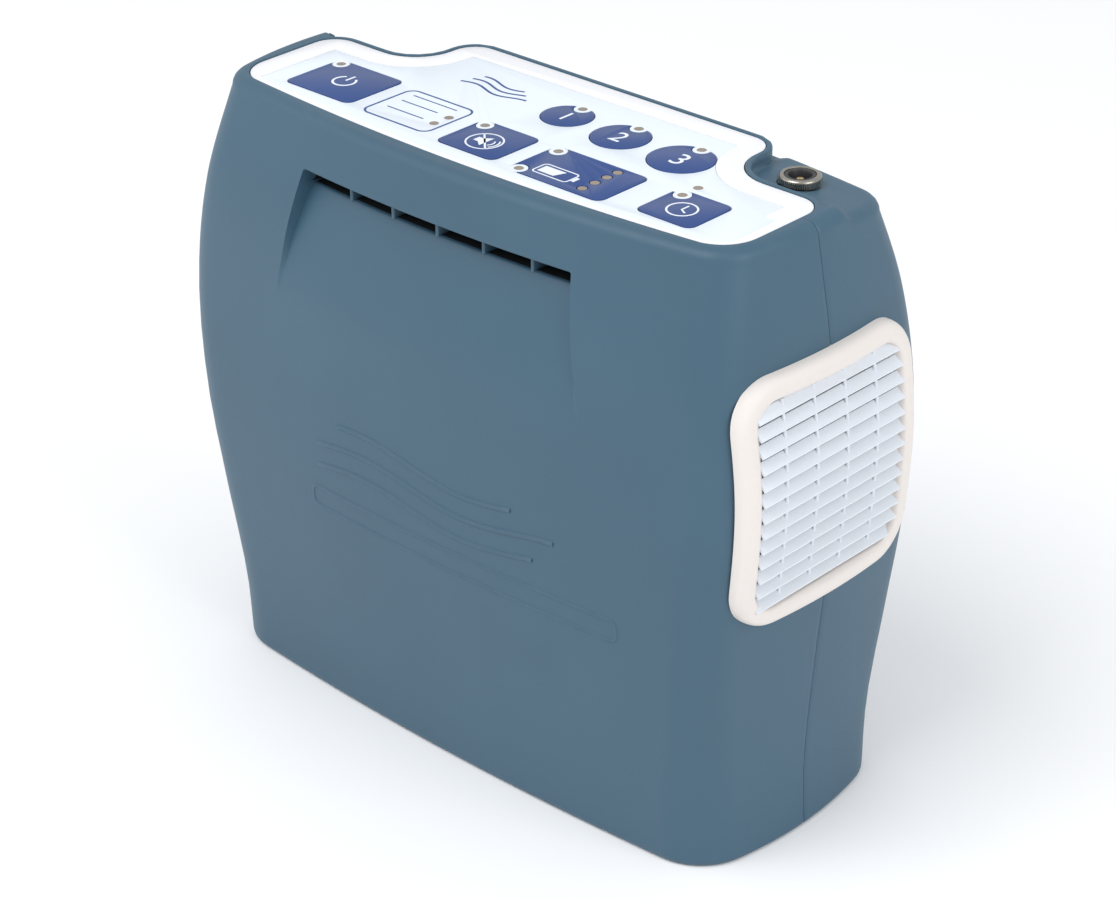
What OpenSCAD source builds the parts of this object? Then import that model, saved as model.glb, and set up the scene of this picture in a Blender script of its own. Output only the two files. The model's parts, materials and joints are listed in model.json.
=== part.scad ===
// Portable oxygen concentrator: a two-part moulded case, a membrane control panel on top,
// a pull-off intake grille on the right side, and the compressor, sieve beds, battery,
// fan and boards that it holds. +X is right, -Y is the front, +Z is up, in millimetres.
// The origin is the middle of the flat base that the case stands on.

/* [Case] */
// Height of the case
case_h = 197.7; // [197:0.1:198.5]
// Wall thickness of both case halves
wall = 2.5; // [2.2:0.1:2.8]
// Place of the joint between the front and rear halves
seam_y = -1; // [-2:0.5:0]
// Radius of the vertical corners at the base
corner_r_base = 19.6; // [18:0.2:21]
// Radius of the vertical corners at the top
corner_r_top = 14.2; // [13.8:0.1:14.6]
// How far the front and rear faces bow out at the base
bow_base = 3.4; // [2:0.2:5]
// How far the front and rear faces bow out at the top
bow_top = 7.4; // [7:0.1:7.8]
// How far the side faces bow out
side_bow = 2.5; // [2:0.1:3]

/* [Front vent] */
// Half of the vent slot's width
vent_half_w = 54; // [50:1:56]
// Height of the underside of the lip over the vent
vent_top = 182; // [181:0.5:183]
// Height of the vent slot
vent_h = 5.5; // [5:0.5:6]
// Depth of the scoop under the lip
scoop_depth = 6; // [5:0.5:7]
// Height at which the scoop starts below the slot
scoop_foot = 142; // [138:1:146]
// Distance between the ribs that cross the slot
rib_pitch = 18.3; // [18:0.1:18.6]

/* [Control panel] */
// Half of the panel frame's width
panel_half_w = 98.3; // [97.5:0.1:98.5]
// Width of the case rim around the panel frame
rim_w = 2; // [1.6:0.1:2.4]
// Travel of a key
key_travel = 0.4; // [0.3:0.05:0.45]
// Gap around each key
key_gap = 0.3; // [0.25:0.05:0.4]
// Thickness of the panel frame
panel_t = 3.6; // [3.4:0.1:3.8]

/* [Intake grille] */
// Width of the grille frame, front to back
grille_w = 74; // [72:1:76]
// Height of the grille frame
grille_h = 77; // [75:1:79]
// Width of the grille frame's rounded band
grille_band = 8.5; // [7.5:0.5:9]
// How far the band stands out from the case
grille_proud = 4.5; // [4:0.25:5]
// Number of louvre slats
slat_count = 13; // [11:1:14]

/* [Rear top corners] */
// Height of the recess floor that holds the oxygen outlet
recess_floor = 174; // [172:1:176]
// Height of the ledge behind the panel
ledge_z = 190.7; // [190:0.1:191.5]
// Fall of the right shelf for each millimetre to the rear
shelf_fall = 0.1; // [0.08:0.01:0.12]

/* [Compressor] */
// Throw of the eccentric
throw = 2; // [1.8:0.1:2]
// Distance from the eccentric to the wrist pin
rod_len = 30; // [30:0.5:31]
// Radius of the pistons
piston_r = 12; // [11.8:0.1:12]
// Running clearance of turning and sliding parts
run_gap = 0.05; // [0.03:0.01:0.08]

/* [Hidden] */

// Half width and half depth of the case, given at a few heights and smoothed between them
half_width = [[0, 107.7], [25, 107], [60, 109.6], [95, 113], [130, 115], [165, 110.6], [197.7, 104.6]];
half_depth = [[0, 46.5], [25, 48.6], [60, 52.4], [95, 55.3], [130, 54.2], [165, 51.4], [197.7, 42.4]];
skin_heights = [2, 12, 25, 40, 55, 70, 85, 100, 112, 124, 136, 148, 160, 172, 182, 190];
side_steps = 3;
corner_steps = 5;
face_steps = 7;
base_round = 2;
edge_round = 4;
big = 300;

panel_z = case_h - 0.4;
panel_seat = panel_z - panel_t;
overlay_t = 0.5;
overlay_top = panel_z - 0.2;
key_top = overlay_top + 0.1;
key_floor = panel_z - 2.8;
key_plate_z = key_floor + key_travel + 0.3;
dome_top = panel_z - 4.15;
board_z = panel_z - 7;
board_t = 1.6;

// Keys with straight sides: middle x, middle y, width, depth
key_boxes = [[-67.9, -13.9, 28, 23.5], [-3.4, -17.8, 23, 20.5], [32.3, -18.3, 35.5, 21.5], [70.6, -16.6, 20, 19]];
// Flow keys: middle x, middle y, radius
key_rounds = [[1.2, 10.9, 8], [23.5, 9.5, 9], [47.4, 8.8, 10]];
// Lamps of the keys, then the other lamps
key_lamps = [[-79.3, -4.5], [-11.9, -10.3], [17.3, -10.2], [64, -9.9], [0.9, 17.9], [23.3, 17.7], [47.2, 17.9]];
free_lamps = [[-23.9, -13.2], [-24.2, -19.1], [17.2, -26.5], [40.3, -10.4], [40.3, -14.9], [40.3, -19.9],
  [40.3, -25.1], [64.1, -3.3]];
lamp_r = 1.4;
lamp_notch = 3;

grille_y = -4;
grille_z = 124.5;
grille_corner = 14;
sleeve_gap = 0.5;
sleeve_wall = 2;
louvre_x = 112;
filter_x = 105;

jack_at = [78.3, 24.2];
jack_z = 196.7;
shelf_z = 194.7;
step_y = 12.3;
jack_nut_r = 6.4;
jack_nut_h = 3.2;
jack_bore_r = 3.1;
outlet_at = [-80, 27];
outlet_r = 2.6;

screw_spots = [[-94, 17], [94, 17], [-97, 163], [97, 163]];

crank_at = [46, 44];
cell_r = 9.15;
cell_len = 65;
bed_r = 18;
bed_z = 114;
fan_at = [84, -4, 124.5];
fan_size = 60;
fan_depth = 14;

// ---- Outline of the case --------------------------------------------------------------

// Smooth curve through a table of [height, value]
function knot(t, z) = max([for (k = [0 : len(t) - 2]) if (z >= t[k][0] || k == 0) k]);
function slope(t, k) = let (lo = max(k - 1, 0), hi = min(k + 1, len(t) - 1))
  (t[hi][1] - t[lo][1]) / (t[hi][0] - t[lo][0]);
function curve(t, z) = let (k = knot(t, z), h = t[k + 1][0] - t[k][0], u = (z - t[k][0]) / h)
  (2 * u^3 - 3 * u^2 + 1) * t[k][1] + (u^3 - 2 * u^2 + u) * h * slope(t, k)
  + (3 * u^2 - 2 * u^3) * t[k + 1][1] + (u^3 - u^2) * h * slope(t, k + 1);

function mix(a, b, u) = a + (b - a) * u;
function corner_r(z) = mix(corner_r_base, corner_r_top, z / case_h);
function bow(z) = mix(bow_base, bow_top, z / case_h);
function arc(c, r, from, to, n) = [for (i = [0 : n]) let (a = mix(from, to, i / n)) c + r * [cos(a), sin(a)]];

// One quarter of the outline at height z, from the middle of the right side to the middle of
// the rear face: a bowed side, a round corner and a bowed face, all drawn in by inset
function quarter(z, inset) =
  let (r = corner_r(z), a = curve(half_width, z) - r - side_bow, b = curve(half_depth, z) - r - bow(z),
    face_r = (a^2 + bow(z)^2) / (2 * bow(z)), side_r = (b^2 + side_bow^2) / (2 * side_bow),
    face_half = asin(a / face_r), side_half = asin(b / side_r), grow = r - inset)
  concat(
    arc([a + side_bow - side_r, 0], side_r + grow, 0, side_half * (1 - 1 / side_steps), side_steps - 1),
    arc([a, b], grow, side_half, 90 - face_half, corner_steps),
    arc([0, b + bow(z) - face_r], face_r + grow, 90 - face_half * (1 - 1 / face_steps), 90, face_steps - 1));

function turned(pts, sx, sy) = [for (p = pts) [p[0] * sx, p[1] * sy]];
function backwards(pts, skip_first, skip_last) = [for (i = [len(pts) - 1 - skip_first : -1 : skip_last]) pts[i]];
function outline(z, inset) = let (q = quarter(z, inset)) concat(
  q, backwards(turned(q, -1, 1), 1, 1), turned(q, -1, -1), backwards(turned(q, 1, -1), 1, 1));

// Closed skin over levels given as [height, inset]
module skin(levels) {
  rings = [for (l = levels) [for (p = outline(l[0], l[1])) [p[0], p[1], l[0]]]];
  n = len(rings[0]);
  points = [for (ring = rings) each ring];
  sides = [for (k = [0 : len(rings) - 2]) for (i = [0 : n - 1]) let (j = (i + 1) % n)
    each [[k * n + i, (k + 1) * n + i, (k + 1) * n + j], [k * n + i, (k + 1) * n + j, k * n + j]]];
  base = [for (i = [0 : n - 1]) i];
  top = [for (i = [n - 1 : -1 : 0]) (len(rings) - 1) * n + i];
  polyhedron(points, concat(sides, [base, top]), convexity = 6);
}

// How far the rear (or front) face lies from the middle plane at x and height z
function face_y(x, z) =
  let (r = corner_r(z), a = curve(half_width, z) - r - side_bow, b = curve(half_depth, z) - r - bow(z),
    face_r = (a^2 + bow(z)^2) / (2 * bow(z)))
  b + bow(z) - face_r + sqrt((face_r + r)^2 - x^2);

module rounded(w, h, r) {
  square([w - 2 * r, h], center = true);
  square([w, h - 2 * r], center = true);
  for (x = [-1, 1], y = [-1, 1]) translate([x * (w / 2 - r), y * (h / 2 - r)]) circle(r, $fn = 32);
}

// ---- Case ------------------------------------------------------------------------------

// Right half of the panel outline, drawn in by inset (or out, where it is negative): a bowed
// front, a round end and an S-shaped step back to the middle of the rear edge
function panel_half(d) = concat(
  [for (i = [0 : 8]) let (u = i / 8) [u * (panel_half_w - 12), -35.8 + 4.4 * u^2 + d]],
  arc([panel_half_w - 12, -19.4], 12 - d, -80, 0, 9),
  arc([panel_half_w - 8, 2.5], 8 - d, 0, 90, 9),
  arc([76, 25.5], 15 + d, -90, -180, 10),
  arc([53, 27], 8 - d, 0, 90, 9));
module panel_outline(d) {
  half = panel_half(d);
  polygon(concat(half, backwards(turned(half, -1, 1), 0, 1)));
}

module case_outer() {
  skin(concat([[0, base_round], [0.6, 0.6]], [for (z = skin_heights) [z, 0]],
    [[case_h - edge_round, 0], [case_h - 1.2, 1.2], [case_h, edge_round]]));
}

module case_cavity() {
  difference() {
    skin([for (z = [wall, 14, 30, 60, 85, 112, 136, 160, 178, ledge_z - wall]) [z, wall]]);
    translate([-big, seam_y + 4, recess_floor - wall]) cube([big - 52, big, big]);
    translate([52, seam_y + 4, ledge_z - 5]) cube([big, big, big]);
  }
}

// Everything above the ledge, the right shelf and the left recess, outside the panel rim
module rear_steps() {
  difference() {
    union() {
      translate([-58, 36, ledge_z]) cube([118, big, big]);
      translate([-58 - big, step_y, recess_floor]) cube([big, big, big]);
      translate([44, 0, 0]) rotate([90, 0, 90]) linear_extrude(big)
        polygon([[step_y, shelf_z], [step_y, case_h + 9], [80, case_h + 9], [80, shelf_z - (80 - step_y) * shelf_fall]]);
    }
    translate([0, 0, recess_floor - 9]) linear_extrude(60) panel_outline(-rim_w);
  }
}

// A bowed slab in front of the vent, from out outside the front face to depth(z) inside it
function scoop_in(z) = scoop_depth * pow(min(1, max(0, (z - scoop_foot) / (vent_top - vent_h - scoop_foot))), 1.4);
module scoop_slab(out, extra, z_low, z_high, widen) {
  cols = 8;
  rows = 6;
  half_w = function (z) vent_half_w + widen + 8 * (vent_top - z) / (vent_top - scoop_foot);
  points = [for (k = [0 : rows]) let (z = mix(z_low, z_high, k / rows)) for (side = [0, 1], i = [0 : cols])
    let (x = half_w(z) * (2 * i / cols - 1)) [x, -face_y(x, z) + (side == 0 ? -out : scoop_in(z) + extra), z]];
  n = 2 * (cols + 1);
  loop = concat([for (i = [0 : cols]) i], [for (i = [cols : -1 : 0]) cols + 1 + i]);
  sides = [for (k = [0 : rows - 1]) for (i = [0 : n - 1]) let (a = loop[i], b = loop[(i + 1) % n])
    each [[k * n + a, (k + 1) * n + a, (k + 1) * n + b], [k * n + a, (k + 1) * n + b, k * n + b]]];
  polyhedron(points, concat(sides, [loop, [for (i = [n - 1 : -1 : 0]) rows * n + loop[i]]]), convexity = 6);
}

module vent_rib(x) {
  y = -face_y(x, vent_top);
  hull() for (dy = [0.7, 6]) translate([x, y + dy, vent_top - vent_h - 1]) cylinder(h = vent_h + 2, r = 0.6, $fn = 16);
}

module grille_window() {
  translate([60, grille_y, grille_z]) rotate([90, 0, 90]) linear_extrude(big)
    rounded(grille_w - 2 * grille_band, grille_h - 2 * grille_band, grille_corner - grille_band);
}

module screw_boss(spot, y_from, y_to, r) {
  translate([spot[0], y_to, spot[1]]) rotate([90, 0, 0]) cylinder(h = y_to - y_from, r = r, $fn = 24);
}

// A screw boss joined to the side wall, with a rib towards the nearer end of the case
module screw_post(spot, y_from, y_to, r) {
  intersection() {
    union() {
      hull() {
        screw_boss(spot, y_from, y_to, r);
        screw_boss([spot[0] * 1.04, spot[1]], y_from, y_to, r - 1);
      }
      hull() {
        screw_boss(spot, y_from, y_to, 1);
        screw_boss([spot[0] * 1.1, spot[1] + (spot[1] > 100 ? 11 : -11)], y_from, y_to, 1);
      }
    }
    case_outer();
  }
}

module case_shell() {
  difference() {
    case_outer();
    case_cavity();
    rear_steps();
    translate([0, 0, panel_seat]) linear_extrude(20) panel_outline(-0.3);
    translate([0, 0, ledge_z - wall - 1]) linear_extrude(20) panel_outline(3);
    grille_window();
    for (x = [-1, 1], y = [-1, 1]) translate([x * 78, y * 30, -1]) cylinder(h = 2.5, r = 8, $fn = 48);
  }
}

module front_shell() {
  color([0.30, 0.44, 0.53]) difference() {
    union() {
      intersection() {
        case_shell();
        translate([-big, seam_y - big, -big]) cube([2 * big, big, 2 * big]);
      }
      intersection() {
        scoop_slab(-1, wall, scoop_foot + 6, vent_top + 3, 2);
        case_outer();
      }
      for (s = screw_spots) screw_post(s, -60, seam_y, 5);
    }
    difference() {
      scoop_slab(4, 0, scoop_foot, vent_top, 0);
      for (k = [-2 : 2]) vent_rib(k * rib_pitch);
    }
    difference() {
      scoop_slab(4, 12, vent_top - vent_h, vent_top, 0);
      for (k = [-2 : 2]) vent_rib(k * rib_pitch);
    }
    for (s = screw_spots) screw_boss(s, seam_y - 14, seam_y + 1, 1.3);
  }
}

module rear_shell() {
  color([0.30, 0.44, 0.53]) difference() {
    union() {
      intersection() {
        case_shell();
        translate([-big, seam_y, -big]) cube([2 * big, big, 2 * big]);
      }
      for (s = screw_spots) screw_post(s, seam_y, 60, 5.5);
    }
    for (s = screw_spots) {
      screw_boss(s, seam_y - 1, 70, 1.7);
      screw_boss(s, seam_y + 12, 70, 3.4);
    }
    translate([jack_at[0], jack_at[1], 180]) cylinder(h = 20, r = 4.7, $fn = 48);
    translate([outlet_at[0], outlet_at[1], 165]) cylinder(h = 20, r = 3.1, $fn = 48);
    translate([jack_at[0], jack_at[1], jack_z - jack_nut_h]) cylinder(h = 8, r = jack_nut_r + 0.3, $fn = 48);
  }
}

module base_pads() {
  color([0.12, 0.12, 0.13]) for (x = [-1, 1], y = [-1, 1]) translate([x * 78, y * 30, 0]) cylinder(h = 1.5, r = 7.9, $fn = 48);
}

module case_screws() {
  color([0.6, 0.6, 0.62]) for (s = screw_spots) {
    screw_boss(s, seam_y - 10, seam_y + 12, 1.25);
    difference() {
      screw_boss(s, seam_y + 12, seam_y + 14.2, 3);
      screw_boss(s, seam_y + 13, seam_y + 15, 1.2);
    }
  }
}

// ---- Control panel ----------------------------------------------------------------------

module key_shape(k, grow) {
  difference() {
    if (k < 4) translate([key_boxes[k][0], key_boxes[k][1]])
      rounded(key_boxes[k][2] + 2 * grow, key_boxes[k][3] + 2 * grow, 3);
    else translate([key_rounds[k - 4][0], key_rounds[k - 4][1]]) circle(key_rounds[k - 4][2] + grow, $fn = 64);
    translate(key_lamps[k]) circle(lamp_notch - grow, $fn = 32);
    if (k < 4) translate(key_lamps[k] + [-10 - grow, grow]) square(10);
    if (k == 2) translate(free_lamps[2]) {
      circle(lamp_notch - grow, $fn = 32);
      translate([-10 - grow, -10 - grow]) square(10);
    }
  }
}

function key_mid(k) = k < 4 ? [key_boxes[k][0], key_boxes[k][1]] : [key_rounds[k - 4][0], key_rounds[k - 4][1]];

module key(k) {
  color([0.10, 0.32, 0.61]) {
    difference() {
      translate([0, 0, key_plate_z]) linear_extrude(key_top - key_plate_z) key_shape(k, 0);
      if (k == 2) for (i = [3 : 6]) translate([free_lamps[i][0], free_lamps[i][1], key_plate_z - 1])
        cylinder(h = 9, r = lamp_r + key_gap, $fn = 32);
    }
    translate([key_mid(k)[0], key_mid(k)[1], dome_top + key_travel + 0.05])
      cylinder(h = key_plate_z - dome_top - key_travel, r = 1.6, $fn = 32);
  }
}

module lamp_spots() {
  for (p = concat(key_lamps, free_lamps)) translate(p) children();
}

module overlay_outline(grow) {
  intersection() {
    panel_outline(8 - grow);
    translate([-89.5 - grow, -60]) square([184 + 2 * grow, 120]);
  }
  intersection() {
    panel_outline(2.6 - grow);
    translate([-89.5 - grow, -60]) square([184 + 2 * grow, 54]);
  }
}

module control_bezel() {
  color([0.96, 0.96, 0.97]) {
    translate([0, 0, panel_seat]) linear_extrude(key_floor - panel_seat) difference() {
      panel_outline(0);
      for (k = [0 : 6]) translate(key_mid(k)) circle(2.2, $fn = 32);
      lamp_spots() circle(lamp_r + 0.05, $fn = 32);
    }
    translate([0, 0, key_floor]) linear_extrude(overlay_top - overlay_t - key_floor) difference() {
      panel_outline(0);
      for (k = [0 : 6]) key_shape(k, key_gap);
      lamp_spots() circle(lamp_r + 0.05, $fn = 32);
    }
    translate([0, 0, overlay_top - overlay_t]) linear_extrude(panel_z - overlay_top + overlay_t) difference() {
      panel_outline(0);
      overlay_outline(0.1);
    }
  }
}

module keypad_overlay() {
  color([0.91, 0.94, 0.97]) translate([0, 0, overlay_top - overlay_t]) linear_extrude(overlay_t) difference() {
    overlay_outline(0);
    for (k = [0 : 6]) key_shape(k, key_gap);
    lamp_spots() circle(lamp_r + 0.05, $fn = 32);
  }
}

module key_power() { key(0); }
module key_mute() { key(1); }
module key_battery() { key(2); }
module key_hours() { key(3); }
module key_flow_1() { key(4); }
module key_flow_2() { key(5); }
module key_flow_3() { key(6); }

module indicator_windows() {
  color([0.55, 0.50, 0.44]) translate([0, 0, panel_seat + 0.5]) lamp_spots()
    cylinder(h = overlay_top - panel_seat - 0.5, r = lamp_r, $fn = 32);
}

module keypad_board() {
  color([0.05, 0.35, 0.2]) translate([0, 0, board_z]) linear_extrude(board_t) difference() {
    panel_outline(5);
    for (x = [-75, 0, 80]) translate([x, 1]) circle(1.6, $fn = 24);
  }
}

module key_domes() {
  color([0.8, 0.8, 0.8]) for (k = [0 : 6]) translate([key_mid(k)[0], key_mid(k)[1], board_z + board_t])
    cylinder(h = dome_top - board_z - board_t, r1 = 4, r2 = 2, $fn = 32);
}

module indicator_leds() {
  color([0.9, 0.9, 0.8]) translate([0, 0, board_z + board_t]) lamp_spots() translate([-0.8, -0.5, 0]) cube([1.6, 1, 0.8]);
}

// ---- Rear top corners -------------------------------------------------------------------

module jack_body() {
  color([0.25, 0.24, 0.22]) translate([jack_at[0], jack_at[1], jack_z]) difference() {
    union() {
      translate([0, 0, -12]) cylinder(h = 12, r = 4.6, $fn = 48);
      translate([0, 0, -13]) cylinder(h = 2, r = 6.5, $fn = 48);
    }
    translate([0, 0, -9]) cylinder(h = 10, r = jack_bore_r, $fn = 48);
    translate([0, 0, -11]) cylinder(h = 3, r = 1, $fn = 24);
  }
}

module jack_pin() {
  color([0.75, 0.7, 0.55]) translate([jack_at[0], jack_at[1], jack_z - 11]) cylinder(h = 9.5, r = 1, $fn = 24);
}

module jack_ring_nut() {
  teeth = 48;
  color([0.62, 0.60, 0.55]) translate([jack_at[0], jack_at[1], jack_z - jack_nut_h]) difference() {
    cylinder(h = jack_nut_h, r = jack_nut_r, $fn = 96);
    translate([0, 0, -1]) cylinder(h = 9, r = 4.65, $fn = 48);
    for (i = [0 : teeth - 1]) rotate(i * 360 / teeth) translate([jack_nut_r, 0, -1])
      rotate(45) cube([0.36, 0.36, jack_nut_h * 2 + 1], center = true);
  }
}

module outlet_barb() {
  barb = [for (i = [0 : 1]) each [[outlet_r, 4 + 2.4 * i], [outlet_r + 0.6, 4 + 2.4 * i]]];
  color([0.80, 0.72, 0.45]) translate([outlet_at[0], outlet_at[1], recess_floor]) rotate_extrude($fn = 64)
    polygon(concat([[1.2, -8], [3, -8], [3, 0], [7, 0], [7, 2.5], [outlet_r, 2.5]], barb,
      [[outlet_r, 8.8], [outlet_r, 15.5], [1.2, 15.5]]));
}

module outlet_seal() {
  color([0.1, 0.1, 0.1]) translate([outlet_at[0], outlet_at[1], recess_floor - wall - 1.6])
    rotate_extrude($fn = 48) translate([3.1, 0]) square([1.8, 1.5]);
}

// ---- Intake grille ----------------------------------------------------------------------

module grille_prism(inset, x_from, x_to) {
  translate([x_from, grille_y, grille_z]) rotate([90, 0, 90]) linear_extrude(x_to - x_from)
    rounded(grille_w - 2 * inset, grille_h - 2 * inset, max(grille_corner - inset, 4));
}

module side_skin(out) {
  skin([for (z = [78, 88, 100, 112, 124, 136, 148, 160, 170]) [z, -out]]);
}

module grille_bezel() {
  hole = grille_band - 1;
  sleeve = grille_band + sleeve_gap;
  color([0.92, 0.90, 0.88]) {
    difference() {
      intersection() {
        grille_prism(0, 100, 130);
        side_skin(grille_proud);
      }
      side_skin(0.35);
      grille_prism(sleeve + sleeve_wall, 90, 140);
    }
    difference() {
      intersection() {
        grille_prism(sleeve, 102, 130);
        side_skin(1);
      }
      grille_prism(sleeve + sleeve_wall, 90, 140);
    }
  }
}

module grille_louvre() {
  inner_w = grille_w - 2 * (grille_band + sleeve_gap + sleeve_wall) - 0.2;
  inner_h = grille_h - 2 * (grille_band + sleeve_gap + sleeve_wall) - 0.2;
  pitch = inner_h / slat_count;
  color([0.88, 0.91, 0.94]) {
    difference() {
      translate([louvre_x - 3, grille_y, grille_z]) rotate([90, 0, 90]) linear_extrude(5) rounded(inner_w, inner_h, 4);
      translate([louvre_x - 4, grille_y, grille_z]) rotate([90, 0, 90]) linear_extrude(7) rounded(inner_w - 2, inner_h - 2, 3);
    }
    for (i = [0 : slat_count - 1])
      translate([louvre_x - 0.5, grille_y, grille_z + (i + 0.5 - slat_count / 2) * pitch]) rotate([0, -25, 0])
        cube([4, inner_w - 1.5, 1], center = true);
    for (k = [-1.5 : 1.5]) translate([louvre_x - 2.4, grille_y + k * inner_w / 4, grille_z]) cube([1, 1, inner_h - 1.5], center = true);
  }
}

module intake_filter() {
  w = grille_w - 2 * (grille_band + sleeve_gap + sleeve_wall) - 0.4;
  h = grille_h - 2 * (grille_band + sleeve_gap + sleeve_wall) - 0.4;
  color([0.2, 0.2, 0.22]) translate([filter_x - 3, grille_y, grille_z]) rotate([90, 0, 90]) linear_extrude(3.8) rounded(w, h, 3.8);
}

// ---- Frame, boards and battery ------------------------------------------------------------

module inner_frame() {
  color([0.2, 0.2, 0.2]) {
    difference() {
      translate([-96, -38, 88]) cube([186, 76, 2.5]);
      for (x = [-60, 0]) translate([x, 0, 80]) cylinder(h = 20, r = 9, $fn = 32);
      translate([62, 4, 80]) cylinder(h = 20, r = 5, $fn = 32);
      translate([86, -12, 80]) cube([8, 24, 20]);
    }
    for (x = [-70, -10], y = [-1, 1]) difference() {
      translate([x - 3, y * 20 - 17, 90.5]) cube([6, 34, 14]);
      translate([x - 4, y * 20, bed_z]) rotate([0, 90, 0]) cylinder(h = 8, r = bed_r + 0.1, $fn = 64);
    }
  }
}

module main_board() {
  color([0.05, 0.35, 0.2]) difference() {
    translate([-94, -34, 140]) cube([118, 68, 1.6]);
    for (x = [-90, 20], y = [-30, 30]) translate([x, y, 139]) cylinder(h = 4, r = 1.6, $fn = 24);
  }
}

module board_parts() {
  top = 141.6;
  color([0.15, 0.15, 0.16]) {
    translate([-40, -10, top]) cube([14, 14, 2]);
    translate([-70, 8, top]) cube([24, 12, 12]);
    for (i = [0 : 5]) translate([-84 + 12 * i, -26, top]) cylinder(h = 14, r = 4.5, $fn = 32);
    for (i = [0 : 3]) translate([-8, -20 + 12 * i, top]) cube([12, 8, 6]);
  }
}

module ribbon_cable() {
  color([0.7, 0.7, 0.68]) translate([-32, 16, 141.6]) cube([22, 0.8, board_z - 141.6]);
}

module buzzer() {
  color([0.08, 0.08, 0.08]) translate([14, 16, 141.6]) difference() {
    cylinder(h = 8, r = 7, $fn = 48);
    translate([0, 0, 6]) cylinder(h = 3, r = 1.2, $fn = 24);
  }
}

module cell_spots() {
  for (i = [0 : 3], k = [0, 1]) translate([-77 + 19 * i, cell_len / 2, 20 + 20 * k]) rotate([90, 0, 0]) children();
}

module battery_cells() {
  color([0.2, 0.45, 0.65]) cell_spots() cylinder(h = cell_len, r = cell_r, $fn = 48);
}

module battery_cradle() {
  color([0.15, 0.15, 0.16]) difference() {
    for (y = [-24, 18]) translate([-87.5, y, 8]) cube([77.3, 6, 44]);
    cell_spots() translate([0, 0, -5]) cylinder(h = cell_len + 10, r = cell_r + 0.1, $fn = 48);
  }
}

// ---- Compressor -----------------------------------------------------------------------------

// Turns a part drawn along +Z to lie along +Y on the crank's axis, from y
module on_crank(y) {
  translate([crank_at[0], y, crank_at[1]]) rotate([-90, 0, 0]) children();
}
module along_x(x, y) {
  translate([x, y, crank_at[1]]) rotate([0, 90, 0]) children();
}

module crankcase() {
  color([0.6, 0.62, 0.64]) difference() {
    translate([26, -18, 24]) cube([40, 38, 40]);
    on_crank(-13) cylinder(h = 28, r = 17.5, $fn = 64);
    on_crank(-17) cylinder(h = 40, r = 8, $fn = 48);
    for (side = [-1, 1]) along_x(side < 0 ? 20 : 60, side * 4) cylinder(h = 12, r = piston_r + run_gap, $fn = 64);
  }
}

module crank_bearings() {
  color([0.75, 0.75, 0.77]) for (y = [-17, 15.2]) on_crank(y) difference() {
    cylinder(h = 3.8, r = 7.95, $fn = 48);
    translate([0, 0, -1]) cylinder(h = 6, r = 3 + run_gap, $fn = 48);
  }
}

module motor_stator() {
  color([0.45, 0.3, 0.2]) on_crank(20.5) difference() {
    cylinder(h = 21, r = 19, $fn = 64);
    translate([0, 0, -1]) cylinder(h = 20, r = 12.6, $fn = 64);
    translate([0, 0, 15]) cylinder(h = 10, r = 5, $fn = 48);
  }
}

module motor_rotor() {
  color([0.7, 0.7, 0.72]) {
    on_crank(-16.9) cylinder(h = 55.4, r = 3, $fn = 48);
    on_crank(21.5) cylinder(h = 16, r = 12, $fn = 64);
    translate([throw, 0, 0]) on_crank(-7.5) cylinder(h = 15, r = 7, $fn = 64);
    on_crank(-12) intersection() {
      cylinder(h = 4, r = 15, $fn = 64);
      translate([-16, -12, 0]) cube([18, 24, 4]);
    }
  }
}

module connecting_rod(side) {
  y = side * 4;
  ring_t = 5;
  color([0.8, 0.8, 0.82]) difference() {
    union() {
      translate([throw, 0, 0]) on_crank(y - ring_t / 2) cylinder(h = ring_t, r = 9.6, $fn = 64);
      translate([throw + side * rod_len, 0, 0]) on_crank(y - ring_t / 2) cylinder(h = ring_t, r = 7.6, $fn = 64);
      translate([crank_at[0] + throw + side * rod_len / 2, y, crank_at[1]]) cube([rod_len - 14, ring_t, 7], center = true);
    }
    translate([throw, 0, 0]) on_crank(y - ring_t) cylinder(h = 2 * ring_t, r = 7 + run_gap, $fn = 64);
    translate([throw + side * rod_len, 0, 0]) on_crank(y - ring_t) cylinder(h = 2 * ring_t, r = 5.9, $fn = 64);
  }
}
module connecting_rod_left() { connecting_rod(-1); }
module connecting_rod_right() { connecting_rod(1); }

// A piston with a closed crown, an open skirt and its wrist pin
module piston(side) {
  pin_x = crank_at[0] + throw + side * rod_len;
  color([0.85, 0.85, 0.86]) {
    difference() {
      along_x(side < 0 ? pin_x - 15.2 : pin_x - 5, side * 4) cylinder(h = 20.2, r = piston_r, $fn = 64);
      along_x(side < 0 ? pin_x - 12.2 : pin_x - 6, side * 4) cylinder(h = 18.2, r = 10.5, $fn = 64);
    }
    translate([pin_x, side * 4 - 10.7, crank_at[1]]) rotate([-90, 0, 0]) cylinder(h = 21.4, r = 1.5, $fn = 32);
  }
}
module piston_left() { piston(-1); }
module piston_right() { piston(1); }

module cylinder_barrel(side) {
  color([0.7, 0.72, 0.74]) along_x(side < 0 ? -2.5 : 66, side * 4) difference() {
    union() {
      cylinder(h = 28.5, r = 14.5, $fn = 64);
      for (i = [0 : 4]) translate([0, 0, 3 + 5 * i]) cylinder(h = 1.5, r = 17, $fn = 64);
    }
    translate([0, 0, -1]) cylinder(h = 31, r = piston_r + run_gap, $fn = 64);
  }
}
module cylinder_left() { cylinder_barrel(-1); }
module cylinder_right() { cylinder_barrel(1); }

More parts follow.
